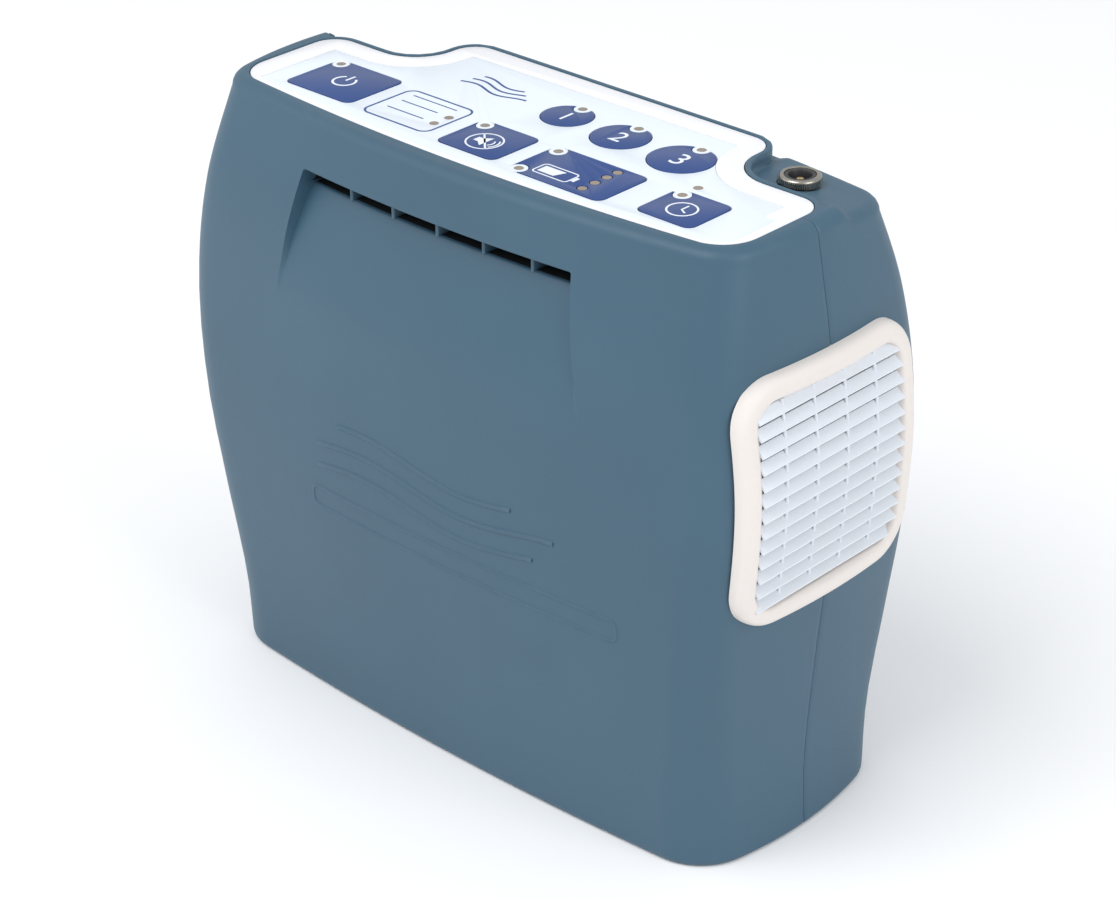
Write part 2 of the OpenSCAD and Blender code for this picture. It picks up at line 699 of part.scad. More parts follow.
module cylinder_heads() {
  color([0.5, 0.52, 0.54]) for (side = [-1, 1]) {
    translate([side < 0 ? -9.5 : 94.5, side * 4 - 16, crank_at[1] - 16]) cube([7, 32, 32]);
    translate([side < 0 ? -6 : 98, side * 4, crank_at[1] + 16]) cylinder(h = 5, r = 3, $fn = 32);
  }
}

module rubber_mounts() {
  color([0.1, 0.1, 0.1]) for (x = [32, 60], y = [-12, 14]) translate([x, y, wall]) cylinder(h = 24 - wall, r = 5, $fn = 32);
}

// ---- Gas path -----------------------------------------------------------------------------

module sieve_beds() {
  color([0.8, 0.8, 0.8]) for (y = [-20, 20]) translate([-84, y, bed_z]) rotate([0, 90, 0]) cylinder(h = 114, r = bed_r, $fn = 64);
}

module sieve_caps() {
  color([0.25, 0.25, 0.27]) for (y = [-20, 20], x = [-92, 30]) translate([x, y, bed_z]) rotate([0, 90, 0])
    cylinder(h = 8, r = bed_r + 0.8, $fn = 64);
}

module valve_manifold() {
  color([0.75, 0.76, 0.78]) difference() {
    translate([38, -32, 98]) cube([16, 64, 32]);
    for (y = [-20, 20]) translate([37, y, bed_z]) rotate([0, 90, 0]) cylinder(h = 12, r = 3, $fn = 32);
  }
}

module solenoid_valves() {
  color([0.1, 0.1, 0.1]) for (y = [-20, 0, 20]) translate([46, y, 130]) {
    cylinder(h = 20, r = 7, $fn = 48);
    translate([0, 0, 20]) cylinder(h = 2, r = 4, $fn = 32);
  }
}

module product_tank() {
  color([0.85, 0.85, 0.84]) translate([-90, 17, 70]) rotate([0, 90, 0]) {
    cylinder(h = 70, r = 15, $fn = 64);
    translate([0, 0, 70]) cylinder(h = 4, r = 3, $fn = 32);
  }
}

module intake_muffler() {
  color([0.15, 0.15, 0.16]) difference() {
    translate([-90, -33, 55]) cube([66, 30, 30]);
    translate([-30, -18, 70]) rotate([0, 90, 0]) cylinder(h = 12, r = 3, $fn = 32);
  }
}

// A bent tube: a rounded stretch between each two points of its path
module tube(path, r) {
  for (i = [0 : len(path) - 2]) hull() for (k = [0, 1]) translate(path[i + k]) sphere(r, $fn = 20);
}

module air_tubes() {
  color([0.85, 0.88, 0.9]) {
    tube([[-6, -4, 67.9], [-6, -4, 74], [-14, -17, 74], [-21.1, -18, 70]], 2.8);
    tube([[98, 4, 67.9], [98, 4, 78], [62, 4, 78], [62, 4, 106], [56.9, 4, 106]], 2.8);
    tube([[-13.7, 17, 70], [4, 17, 70], [4, 17, 82], [31, 44, 82], [60, 34, 110], [56.3, 26, 112]], 2.2);
  }
}

// ---- Fan ------------------------------------------------------------------------------------

module fan_ring() {
  difference() {
    square(fan_size, center = true);
    circle(fan_size / 2 - 1.5, $fn = 72);
  }
}

module fan_frame() {
  color([0.12, 0.12, 0.12]) translate(fan_at) rotate([0, 90, 0]) {
    linear_extrude(2) difference() {
      union() {
        fan_ring();
        circle(11, $fn = 48);
        for (a = [45, 135]) rotate(a) square([fan_size, 3], center = true);
      }
      circle(2 + run_gap, $fn = 32);
    }
    translate([0, 0, 2]) linear_extrude(fan_depth - 2) fan_ring();
  }
}

module fan_rotor() {
  blades = 7;
  color([0.2, 0.2, 0.21]) translate(fan_at) rotate([0, 90, 0]) {
    translate([0, 0, 3]) cylinder(h = 10, r = 12, $fn = 48);
    cylinder(h = 4, r = 2, $fn = 32);
    for (i = [0 : blades - 1]) rotate(i * 360 / blades) translate([19, 0, 8]) rotate([35, 0, 0])
      cube([15.5, 12, 1.2], center = true);
  }
}

front_shell();
rear_shell();
control_bezel();
keypad_overlay();
key_power();
key_mute();
key_battery();
key_hours();
key_flow_1();
key_flow_2();
key_flow_3();
indicator_windows();
key_domes();
keypad_board();
indicator_leds();
jack_body();
jack_pin();
jack_ring_nut();
outlet_barb();
outlet_seal();
grille_bezel();
grille_louvre();
intake_filter();
base_pads();
case_screws();
inner_frame();
main_board();
board_parts();
ribbon_cable();
buzzer();
battery_cells();
battery_cradle();
crankcase();
motor_stator();
motor_rotor();
crank_bearings();
connecting_rod_left();
connecting_rod_right();
piston_left();
piston_right();
cylinder_left();
cylinder_right();
cylinder_heads();
rubber_mounts();
sieve_beds();
sieve_caps();
valve_manifold();
solenoid_valves();
product_tank();
intake_muffler();
air_tubes();
fan_frame();
fan_rotor();
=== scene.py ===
# %% [markdown]
# # A portable oxygen concentrator
# The real object is a case of two blue mouldings that stand on edge like a small lunch box.
# A white frame with a membrane keypad closes the top, a slot under a lip on the front lets the
# warm air out, and a soft white grille on the right side pulls off for its filter.
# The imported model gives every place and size. This lesson dresses it: smooth shells instead of
# faceted ones, rounded edges, printed symbols, and a finish for each material.

# %% Load the frame
import json
import math
import bpy
import bmesh
import numpy as np
from mathutils import Matrix, Vector


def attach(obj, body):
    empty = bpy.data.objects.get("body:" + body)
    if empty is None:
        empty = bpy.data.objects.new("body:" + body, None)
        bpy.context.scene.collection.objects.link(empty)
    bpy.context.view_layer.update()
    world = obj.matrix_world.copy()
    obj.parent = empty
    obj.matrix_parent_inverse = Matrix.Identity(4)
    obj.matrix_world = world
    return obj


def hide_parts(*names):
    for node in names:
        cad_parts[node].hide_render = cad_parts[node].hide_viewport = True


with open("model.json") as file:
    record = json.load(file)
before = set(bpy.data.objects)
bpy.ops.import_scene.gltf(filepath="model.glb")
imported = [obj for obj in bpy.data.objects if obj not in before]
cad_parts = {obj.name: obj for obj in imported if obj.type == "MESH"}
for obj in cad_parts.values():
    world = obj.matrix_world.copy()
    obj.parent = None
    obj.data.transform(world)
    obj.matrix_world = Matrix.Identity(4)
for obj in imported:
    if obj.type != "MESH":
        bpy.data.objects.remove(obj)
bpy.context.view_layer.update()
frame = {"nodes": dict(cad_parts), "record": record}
scene = bpy.context.scene
NODES = frame["nodes"]
MM = 0.001

# %% [markdown]
# ## The camera
# A product shot is taken from above and from the right, with a long lens that keeps the upright
# edges nearly parallel. The camera is made from three axes: right, up and back, where back points
# from the object to the lens. Azimuth turns it round the object and elevation lifts it.

# %% Place the camera
FOCAL_PX, IMAGE_W, SENSOR = 2978.59, 1116, 36.0
AZIMUTH, ELEVATION, ROLL = (math.radians(v) for v in (43.33, 28.59, -0.57))
TARGET, DISTANCE, SLIDE_X, SLIDE_Y = Vector((0, 0, 100)), 916.12, 4.70, -9.47
back = Vector((math.sin(AZIMUTH) * math.cos(ELEVATION), -math.cos(AZIMUTH) * math.cos(ELEVATION),
               math.sin(ELEVATION)))
level = Vector((math.cos(AZIMUTH), math.sin(AZIMUTH), 0))
upward = back.cross(level)
right = math.cos(ROLL) * level + math.sin(ROLL) * upward
up = math.cos(ROLL) * upward - math.sin(ROLL) * level
camera_data = bpy.data.cameras.new("Camera")
camera_data.sensor_width, camera_data.lens = SENSOR, FOCAL_PX / IMAGE_W * SENSOR
camera_data.clip_start, camera_data.clip_end = 0.05, 30
camera = bpy.data.objects.new("Camera", camera_data)
scene.collection.objects.link(camera)
lens_at = TARGET + back * DISTANCE + right * SLIDE_X + up * SLIDE_Y
camera.matrix_world = Matrix.Translation(lens_at * MM) @ Matrix((right, up, back)).transposed().to_4x4()
scene.camera = camera
print("camera: lens %.1f mm at %.3f m" % (camera_data.lens, DISTANCE * MM))

# %% [markdown]
# ## Shared surface effects
# Moulded plastic is never one flat colour. It has a fine spark-eroded grain, a slow drift of
# tone from the moulding, paler worn edges, and a little dust on what faces up. Several finishes
# need the same effects, so each effect is a node group with named inputs, built once.
# The alternative, one big material with everything in it, is harder to tune.

# %% Helpers for node groups
def new_group(name, inputs, outputs):
    """An empty shader group with named value inputs and outputs."""
    tree = bpy.data.node_groups.new(name, "ShaderNodeTree")
    for label, value in inputs:
        tree.interface.new_socket(label, in_out="INPUT", socket_type="NodeSocketFloat").default_value = value
    for label in outputs:
        tree.interface.new_socket(label, in_out="OUTPUT", socket_type="NodeSocketFloat")
    return tree, tree.nodes.new("NodeGroupInput"), tree.nodes.new("NodeGroupOutput")


def add(tree, kind, **values):
    """Adds a node and sets its properties, or its inputs by number where the key is in0, in1 and so on."""
    node = tree.nodes.new(kind)
    for key, value in values.items():
        if key.startswith("in") and key[2:].isdigit():
            node.inputs[int(key[2:])].default_value = value
        else:
            setattr(node, key, value)
    return node


def ramp_between(tree, source, low, high):
    """A smooth step from 0 at low to 1 at high."""
    node = add(tree, "ShaderNodeMapRange", interpolation_type="SMOOTHSTEP", in1=low, in2=high)
    tree.links.new(source, node.inputs[0])
    return node.outputs[0]


def multiply(tree, a, b):
    node = add(tree, "ShaderNodeMath", operation="MULTIPLY")
    for k, value in enumerate((a, b)):
        if isinstance(value, (int, float)):
            node.inputs[k].default_value = value
        else:
            tree.links.new(value, node.inputs[k])
    return node.outputs[0]


# %% Build the grain, wear and dust groups
def make_grain():
    tree, given, result = new_group("fine_grain", [("Cells per metre", 2500.0), ("Unevenness", 0.5)],
                                    ["Height", "Drift"])
    place = add(tree, "ShaderNodeTexCoord").outputs["Object"]
    fine = add(tree, "ShaderNodeTexNoise", in3=3.0, in4=0.6)
    slow = add(tree, "ShaderNodeTexNoise", in2=14.0, in3=3.0, in4=0.5)
    tree.links.new(place, fine.inputs["Vector"])
    tree.links.new(place, slow.inputs["Vector"])
    tree.links.new(given.outputs[0], fine.inputs["Scale"])
    tree.links.new(given.outputs[1], fine.inputs["Roughness"])
    tree.links.new(fine.outputs[0], result.inputs["Height"])
    tree.links.new(ramp_between(tree, slow.outputs[0], 0.3, 0.7), result.inputs["Drift"])
    return tree


def make_wear():
    tree, given, result = new_group("edge_wear", [("Amount", 0.5), ("Patch scale", 60.0)], ["Mask"])
    convex = add(tree, "ShaderNodeNewGeometry").outputs["Pointiness"]
    patch = add(tree, "ShaderNodeTexNoise", in3=4.0)
    tree.links.new(add(tree, "ShaderNodeTexCoord").outputs["Object"], patch.inputs["Vector"])
    tree.links.new(given.outputs[1], patch.inputs["Scale"])
    edge = ramp_between(tree, convex, 0.52, 0.62)
    broken = multiply(tree, edge, ramp_between(tree, patch.outputs[0], 0.35, 0.65))
    tree.links.new(multiply(tree, broken, given.outputs[0]), result.inputs["Mask"])
    return tree


def make_dust():
    tree, given, result = new_group("dust", [("Amount", 0.2), ("Patch scale", 90.0)], ["Mask"])
    facing = add(tree, "ShaderNodeSeparateXYZ")
    tree.links.new(add(tree, "ShaderNodeNewGeometry").outputs["Normal"], facing.inputs[0])
    patch = add(tree, "ShaderNodeTexNoise", in3=5.0, in4=0.7)
    tree.links.new(add(tree, "ShaderNodeTexCoord").outputs["Object"], patch.inputs["Vector"])
    tree.links.new(given.outputs[1], patch.inputs["Scale"])
    upper = ramp_between(tree, facing.outputs[2], 0.2, 1.0)
    speck = multiply(tree, upper, ramp_between(tree, patch.outputs[0], 0.4, 0.8))
    tree.links.new(multiply(tree, speck, given.outputs[0]), result.inputs["Mask"])
    return tree


GRAIN, WEAR, DUST = make_grain(), make_wear(), make_dust()
print("shared groups:", GRAIN.name, WEAR.name, DUST.name)

# %% [markdown]
# ## One recipe for a finish
# Every finish starts from the same recipe: a base colour that drifts a little, paler edges,
# dust, a roughness that follows the grain, and a bump. Numbers that are the same all over a
# surface are set on the shader itself. Metals get a higher metallic value, films and glossy
# plastics a clear coat.

# %% The recipe
def shade(color, factor):
    return tuple(min(1.0, c * factor) for c in color[:3]) + (1.0,)


def blend_colors(tree, mask, a, b):
    """Colour a, or b where the mask is 1. Either may be a colour or a socket."""
    node = add(tree, "ShaderNodeMix", data_type="RGBA")
    tree.links.new(mask, node.inputs["Factor"])
    for k, value in ((6, a), (7, b)):
        if isinstance(value, tuple):
            node.inputs[k].default_value = value
        else:
            tree.links.new(value, node.inputs[k])
    return node.outputs[2]


def make_finish(name, color, rough, metallic=0.0, cells=2500.0, bump=0.03, depth=0.0002, drift=0.08,
                wear=0.3, dust=0.05, coat=0.0, coat_rough=0.2, sheen=0.0, ior=1.48, pattern=None):
    """A finish from the shared groups. pattern(tree, base) may change the colour and returns
    (colour socket, height socket or None)."""
    material = bpy.data.materials.new(name)
    material.use_nodes = True
    tree = material.node_tree
    shader = tree.nodes["Principled BSDF"]
    grain = add(tree, "ShaderNodeGroup", node_tree=GRAIN, in0=cells)
    worn = add(tree, "ShaderNodeGroup", node_tree=WEAR, in0=wear)
    dusty = add(tree, "ShaderNodeGroup", node_tree=DUST, in0=dust)
    base = blend_colors(tree, grain.outputs["Drift"], shade(color, 1 - drift), shade(color, 1 + drift))
    height = grain.outputs["Height"]
    if pattern:
        base, own_height = pattern(tree, base)
        height = own_height or height
    base = blend_colors(tree, worn.outputs[0], base, shade(tuple(0.6 * c + 0.25 for c in color[:3]), 1.0))
    base = blend_colors(tree, dusty.outputs[0], base, (0.55, 0.54, 0.51, 1.0))
    tree.links.new(base, shader.inputs["Base Color"])
    smoothest, roughest = max(rough - 0.06, 0.02), min(rough + 0.06, 1.0)
    spread = add(tree, "ShaderNodeMapRange", in1=0.3, in2=0.7, in3=smoothest, in4=roughest)
    tree.links.new(grain.outputs["Height"], spread.inputs[0])
    tree.links.new(spread.outputs[0], shader.inputs["Roughness"])
    relief = add(tree, "ShaderNodeBump")
    relief.inputs["Strength"].default_value = bump
    relief.inputs["Distance"].default_value = depth
    tree.links.new(height, relief.inputs["Height"])
    tree.links.new(relief.outputs[0], shader.inputs["Normal"])
    shader.inputs["Metallic"].default_value = metallic
    shader.inputs["IOR"].default_value = ior
    shader.inputs["Coat Weight"].default_value = coat
    shader.inputs["Coat Roughness"].default_value = coat_rough
    shader.inputs["Sheen Weight"].default_value = sheen
    return material


# %% [markdown]
# ## Patterns for the finishes that have one
# Foam shows open cells with painted shade in their hollows, a circuit board shows tracks under its
# green mask, windings are fine copper stripes, and ground steel has turning marks. Each is a small
# function that the recipe calls, and all of them read object coordinates, so that they stay put when a part
# moves.

# %% Patterns
def object_place(tree, turn=(0, 0, 0), stretch=(1, 1, 1)):
    mapping = add(tree, "ShaderNodeMapping")
    mapping.inputs["Rotation"].default_value = turn
    mapping.inputs["Scale"].default_value = stretch
    tree.links.new(add(tree, "ShaderNodeTexCoord").outputs["Object"], mapping.inputs["Vector"])
    return mapping.outputs[0]


def foam_cells(tree, base):
    cells = add(tree, "ShaderNodeTexVoronoi", feature="DISTANCE_TO_EDGE", in2=900.0)
    tree.links.new(object_place(tree), cells.inputs["Vector"])
    # Cell hollows, away from the cell edges, turn near-black: painted shade inside the open pores
    wall = ramp_between(tree, cells.outputs[0], 0.02, 0.25)
    return blend_colors(tree, wall, base, (0.004, 0.004, 0.005, 1.0)), cells.outputs[0]


def board_tracks(tree, base):
    tracks = add(tree, "ShaderNodeTexVoronoi", distance="MANHATTAN", feature="F1", in2=260.0)
    tree.links.new(object_place(tree), tracks.inputs["Vector"])
    line = ramp_between(tree, tracks.outputs[0], 0.32, 0.38)
    return blend_colors(tree, line, base, (0.02, 0.16, 0.09, 1.0)), tracks.outputs[0]


def stripes(per_metre, turn, other):
    def pattern(tree, base):
        bands = add(tree, "ShaderNodeTexWave", wave_type="BANDS", in1=per_metre)
        tree.links.new(object_place(tree, turn), bands.inputs["Vector"])
        line = ramp_between(tree, bands.outputs[1], 0.35, 0.65)
        return blend_colors(tree, line, base, other), bands.outputs[1]
    return pattern


def brushed(stretch):
    def pattern(tree, base):
        marks = add(tree, "ShaderNodeTexNoise", in2=700.0, in3=2.0)
        tree.links.new(object_place(tree, stretch=stretch), marks.inputs["Vector"])
        return base, marks.outputs[0]
    return pattern


# %% Make every finish
CASE_BLUE = (0.043, 0.103, 0.155)
RECIPES = {
    "case_plastic": dict(color=CASE_BLUE, rough=0.47, cells=3200, bump=0.10, drift=0.035, wear=0.12,
                         dust=0.02),
    "panel_white": dict(color=(0.86, 0.86, 0.88), rough=0.32, cells=1800, bump=0.015, drift=0.01,
                        wear=0.0, dust=0.03, coat=0.15),
    "overlay_film": dict(color=(0.76, 0.82, 0.88), rough=0.38, cells=4200, bump=0.03, drift=0.015,
                         wear=0.0, dust=0.02, coat=0.1),
    "key_blue": dict(color=(0.006, 0.045, 0.20), rough=0.35, cells=4200, bump=0.03, drift=0.06, wear=0.02,
                     dust=0.02, coat=0.15),
    "lamp_lens": dict(color=(0.24, 0.19, 0.14), rough=0.28, cells=1500, bump=0.01, drift=0.15, wear=0.0,
                      coat=0.4),
    "spring_steel": dict(color=(0.60, 0.60, 0.62), rough=0.30, metallic=1.0, pattern=brushed((1, 1, 12)),
                         bump=0.05, wear=0.1),
    "circuit_board": dict(color=(0.01, 0.09, 0.045), rough=0.35, pattern=board_tracks, bump=0.08, coat=0.3),
    "black_plastic": dict(color=(0.016, 0.016, 0.018), rough=0.5, cells=2600, bump=0.08, wear=0.2),
    "contact_brass": dict(color=(0.70, 0.52, 0.22), rough=0.25, metallic=1.0, pattern=brushed((12, 1, 1)),
                          bump=0.04, wear=0.1),
    "nickel": dict(color=(0.34, 0.32, 0.28), rough=0.26, metallic=1.0, cells=1500, bump=0.03, drift=0.12,
                   wear=0.5, dust=0.05),
    "seal_rubber": dict(color=(0.014, 0.014, 0.014), rough=0.75, cells=1800, bump=0.15, wear=0.05,
                        sheen=0.1),
    "grille_warm_white": dict(color=(0.74, 0.69, 0.65), rough=0.52, cells=2600, bump=0.06, drift=0.015,
                              wear=0.0, dust=0.04, sheen=0.08),
    "louvre_white": dict(color=(0.72, 0.76, 0.81), rough=0.42, cells=2400, bump=0.03, drift=0.02,
                         wear=0.0, dust=0.05),
    "filter_foam": dict(color=(0.05, 0.055, 0.06), rough=0.9, pattern=foam_cells, bump=0.6, depth=0.0006,
                        wear=0.0),
    "cable_grey": dict(color=(0.42, 0.42, 0.40), rough=0.5,
                       pattern=stripes(260, (0, 0, 0), (0.30, 0.30, 0.29, 1.0)), bump=0.3),
    "cell_wrap": dict(color=(0.02, 0.12, 0.32), rough=0.28, cells=900, bump=0.03, coat=0.5),
    "cast_alloy": dict(color=(0.46, 0.47, 0.49), rough=0.42, metallic=1.0, cells=1600, bump=0.14, wear=0.3),
    "copper_iron": dict(color=(0.36, 0.12, 0.045), rough=0.4, metallic=0.8,
                        pattern=stripes(380, (0, 0, 1.57), (0.05, 0.04, 0.04, 1.0)), bump=0.4),
    "tank_plastic": dict(color=(0.68, 0.67, 0.62), rough=0.45, cells=1600, bump=0.04),
    "silicone": dict(color=(0.66, 0.70, 0.72), rough=0.35, cells=900, bump=0.02, coat=0.3),
    # Near-black painted shade for the inside of the vent slot, where the real slot is dark only with shadow
    "slot_dark": dict(color=(0.004, 0.005, 0.006), rough=0.85, cells=2000, bump=0.1, wear=0.0, dust=0.0),
    "print_white": dict(color=(0.80, 0.84, 0.90), rough=0.4, cells=4200, bump=0.02, drift=0.01, wear=0.0),
    "print_blue": dict(color=(0.008, 0.06, 0.24), rough=0.4, cells=4200, bump=0.02, drift=0.03, wear=0.0),
}
FINISHES = {name: make_finish(name, **recipe) for name, recipe in RECIPES.items()}
SLOT_OF = {part["node"]: part["material_slot"] for part in frame["record"]["subparts"]}
for name, node in NODES.items():
    node.data.materials.clear()
    node.data.materials.append(FINISHES[SLOT_OF[name]])
print("finishes:", len(FINISHES), "made; every CAD node has one")

# %% [markdown]
# ## Making meshes
# Most pieces below are grids: rows of points that are joined into four-sided faces. Others are
# flat outlines pushed up into a plate, or a copy of a CAD node with its triangles merged and its
# edges rounded. A few small helpers cover all of these, and always leave a plain mesh whose
# object sits at the origin.

# %% Helpers for meshes
def metres(verts):
    """Points in millimetres as points in metres."""
    return [tuple(float(c) * MM for c in v) for v in verts]


def settle(piece, slot, body, smooth=40, replaced=()):
    """Gives a finished mesh object its material, shading, body and slot."""
    if not piece.data.materials:
        piece.data.materials.append(FINISHES[slot])
    for face in piece.data.polygons:
        face.use_smooth = True
    piece.data.set_sharp_from_angle(angle=math.radians(smooth))
    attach(piece, body)
    if replaced:
        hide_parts(*replaced)
    return piece


def applied(piece):
    """Turns the result of an object's modifiers into its plain mesh."""
    depsgraph = bpy.context.evaluated_depsgraph_get()
    mesh = bpy.data.meshes.new_from_object(piece.evaluated_get(depsgraph))
    piece.modifiers.clear()
    old, piece.data = piece.data, mesh
    bpy.data.meshes.remove(old)
    return piece


def plain_object(name, verts, faces):
    """A mesh object that belongs to no body yet: a cutter, or something still to be worked on."""
    mesh = bpy.data.meshes.new(name)
    mesh.from_pydata(metres(verts), [], [tuple(int(i) for i in face) for face in faces])
    tidy = bmesh.new()
    tidy.from_mesh(mesh)
    bmesh.ops.remove_doubles(tidy, verts=tidy.verts, dist=1e-6)
    bmesh.ops.recalc_face_normals(tidy, faces=tidy.faces)
    tidy.to_mesh(mesh)
    tidy.free()
    piece = bpy.data.objects.new(name, mesh)
    scene.collection.objects.link(piece)
    return piece


def carve(piece, cutter):
    """Cuts one object out of another, and removes the cutter."""
    cut = piece.modifiers.new("cut", "BOOLEAN")
    cut.operation, cut.solver, cut.object = "DIFFERENCE", "EXACT", cutter
    applied(piece)
    bpy.data.objects.remove(cutter)
    return piece


def prism(outline, low, high):
    """Points and faces of a plate with a flat outline."""
    n = len(outline)
    verts = [(x, y, low) for x, y in outline] + [(x, y, high) for x, y in outline]
    faces = [tuple(range(n - 1, -1, -1)), tuple(range(n, 2 * n))]
    faces += [(i, (i + 1) % n, n + (i + 1) % n, n + i) for i in range(n)]
    return verts, faces


def joined(*parts):
    """Several (points, faces) as one."""
    verts, faces = [], []
    for part_verts, part_faces in parts:
        start = len(verts)
        verts += list(part_verts)
        faces += [tuple(i + start for i in face) for face in part_faces]
    return verts, faces


def round_points(x, y, r, n):
    turns = [2 * math.pi * k / n for k in range(n)]
    return [(x + r * math.cos(a), y + r * math.sin(a)) for a in turns]


def disc(x, y, r, low, high, n=40):
    return prism(round_points(x, y, r, n), low, high)


def rod_y(x, z, r, y_from, y_to, n=32):
    """A round bar along Y."""
    verts, faces = disc(x, z, r, y_from, y_to, n)
    return [(a, c, b) for a, b, c in verts], [face[::-1] for face in faces]


def wrapped(around, section):
    """Faces of a grid that closes on itself both ways."""
    faces = []
    for i in range(around):
        here, following = i * section, ((i + 1) % around) * section
        for j in range(section):
            k = (j + 1) % section
            faces.append((here + j, here + k, following + k, following + j))
    return faces


def lathe(profile, centre, n=64):
    """A turned part: a closed profile of (radius, height) points swept about Z."""
    turns = [2 * math.pi * k / n for k in range(n)]
    verts = [(centre[0] + r * math.cos(a), centre[1] + r * math.sin(a), centre[2] + h)
             for a in turns for r, h in profile]
    return verts, [(a, d, c, b) for a, b, c, d in wrapped(n, len(profile))]


def rounded_copy(name, node, slot, body="case", width=0.3, segments=3, angle=35, replaced=None):
    """A copy of a CAD node with its triangles merged and its sharp edges rounded."""
    mesh = NODES[node].data.copy()
    mesh.name = name
    work = bmesh.new()
    work.from_mesh(mesh)
    bmesh.ops.remove_doubles(work, verts=work.verts, dist=2e-6)
    bmesh.ops.dissolve_limit(work, angle_limit=math.radians(0.6), verts=work.verts, edges=work.edges)
    work.to_mesh(mesh)
    work.free()
    piece = bpy.data.objects.new(name, mesh)
    scene.collection.objects.link(piece)
    soften = piece.modifiers.new("soften", "BEVEL")
    soften.width, soften.segments, soften.limit_method = width * MM, segments, "ANGLE"
    soften.angle_limit, soften.use_clamp_overlap = math.radians(angle), True
    applied(piece)
    piece.data.materials.clear()
    return settle(piece, slot, body, 45, (node,) if replaced is None else replaced)


print("mesh helpers ready")

# %% [markdown]
# ## The outline of the case
# Cut level at any height, the case is a rectangle with bowed sides and round corners. Its width
# and depth swell to a waist at a little over half height, and its corners get tighter towards
# the top. The outline is worked out as three arcs for a quarter, so that every height gives the
# same number of points, and points above each other belong together.

# %% Outline of the case
CASE_H, SEAM_Y, EDGE = 197.7, -1.0, 4.0
HALF_WIDTH = [(0, 107.7), (25, 107), (60, 109.6), (95, 113), (130, 114.95), (165, 110.6), (197.7, 104.6)]
HALF_DEPTH = [(0, 46.5), (25, 48.6), (60, 52.4), (95, 54.85), (130, 53.9), (165, 51.4), (197.7, 42.4)]
SIDE_BOW = 2.5


def curve(table, z):
    """A smooth curve through a table of height and value."""
    k = max([k for k in range(len(table) - 1) if z >= table[k][0] or k == 0])

    def slope(j):
        lo, hi = max(j - 1, 0), min(j + 1, len(table) - 1)
        return (table[hi][1] - table[lo][1]) / (table[hi][0] - table[lo][0])
    h = table[k + 1][0] - table[k][0]
    u = (z - table[k][0]) / h
    return ((2 * u**3 - 3 * u**2 + 1) * table[k][1] + (u**3 - 2 * u**2 + u) * h * slope(k)
            + (3 * u**2 - 2 * u**3) * table[k + 1][1] + (u**3 - u**2) * h * slope(k + 1))


def arcs(z):
    """Corner radius, corner centre, and the radii and half angles of the face and side arcs."""
    r = 19.6 - 5.4 * z / CASE_H
    bow = 3.4 + 4.0 * z / CASE_H
    a, b = curve(HALF_WIDTH, z) - r - SIDE_BOW, curve(HALF_DEPTH, z) - r - bow
    face_r, side_r = (a * a + bow * bow) / (2 * bow), (b * b + SIDE_BOW**2) / (2 * SIDE_BOW)
    return r, a, b, bow, face_r, side_r, math.asin(a / face_r), math.asin(b / side_r)


def face_y(x, z):
    """How far the front or rear face lies from the middle plane."""
    r, a, b, bow, face_r = arcs(z)[:5]
    return b + bow - face_r + math.sqrt((face_r + r)**2 - x * x)


def side_x(y, z):
    """How far the right side lies from the middle plane."""
    r, a, b, bow, face_r, side_r = arcs(z)[:6]
    return a + SIDE_BOW - side_r + math.sqrt((side_r + r)**2 - y * y)


def spot(kind, t, z, inset, sign):
    """A point of the outline in the quarter with x > 0 and y towards sign. On the side, t runs
    from the seam to the corner, and on the face it is s: 1 at the edge of the scoop, 2 at the
    corner and 0 in the middle."""
    r, a, b, bow, face_r, side_r, face_half, side_half = arcs(z)
    if kind == "side":
        start = math.asin(SEAM_Y * sign / (side_r + r - inset))
        angle = start + (side_half - start) * t
        return (a + SIDE_BOW - side_r + (side_r + r - inset) * math.cos(angle),
                (side_r + r - inset) * math.sin(angle) * sign)
    if kind == "corner":
        angle = side_half + (math.pi / 2 - face_half - side_half) * t
        return (a + (r - inset) * math.cos(angle), (b + (r - inset) * math.sin(angle)) * sign)
    wide = scoop_half(z)
    x = t * wide if t <= 1 else wide + (t - 1) * ((face_r + r) * math.sin(face_half) - wide)
    angle = math.asin(x / (face_r + r))
    return ((face_r + r - inset) * math.sin(angle),
            (b + bow - face_r + (face_r + r - inset) * math.cos(angle)) * sign)


# %% [markdown]
# ## The vent and the panel's opening
# Under the front lip the wall folds in to a slot that is dark with shade, and below the slot a shallow
# scoop fades into the face. Its two upright sides lean apart towards the bottom. The panel's opening is a
# long plate outline with S-shaped steps at its rear corners.

# %% Measures of the vent and the panel
VENT_TOP, SLOT_H, SCOOP_FOOT, SCOOP_IN, SLOT_DEEP = 182.0, 5.5, 142.0, 6.0, 14.0
LEDGE_Z, RECESS_Z, SHELF_Z, STEP_Y = 190.7, 174.0, 194.7, 12.3


def scoop_half(z):
    """Half of the scoop's width at a height."""
    return 54 + 8 * min(1, max(0, (VENT_TOP - z) / (VENT_TOP - SCOOP_FOOT)))


def scoop_in(z):
    return SCOOP_IN * min(1, max(0, (z - SCOOP_FOOT) / (VENT_TOP - SLOT_H - SCOOP_FOOT)))**1.4


def arc_points(cx, cy, r, start, end, n):
    return [(cx + r * math.cos(math.radians(start + (end - start) * k / n)),
             cy + r * math.sin(math.radians(start + (end - start) * k / n))) for k in range(n + 1)]


def panel_half(d):
    """Right half of the panel's outline drawn in by d, from the front middle to the rear middle."""
    return ([(86.3 * k / 24, -35.8 + 4.4 * (k / 24)**2 + d) for k in range(24)]
            + arc_points(86.3, -19.4, 12 - d, -80, 0, 16) + arc_points(90.3, 2.5, 8 - d, 0, 90, 14)
            + arc_points(76, 25.5, 15 + d, -90, -180, 20) + arc_points(53, 27, 8 - d, 0, 90, 14)
            + [(26, 35 - d), (0, 35 - d)])


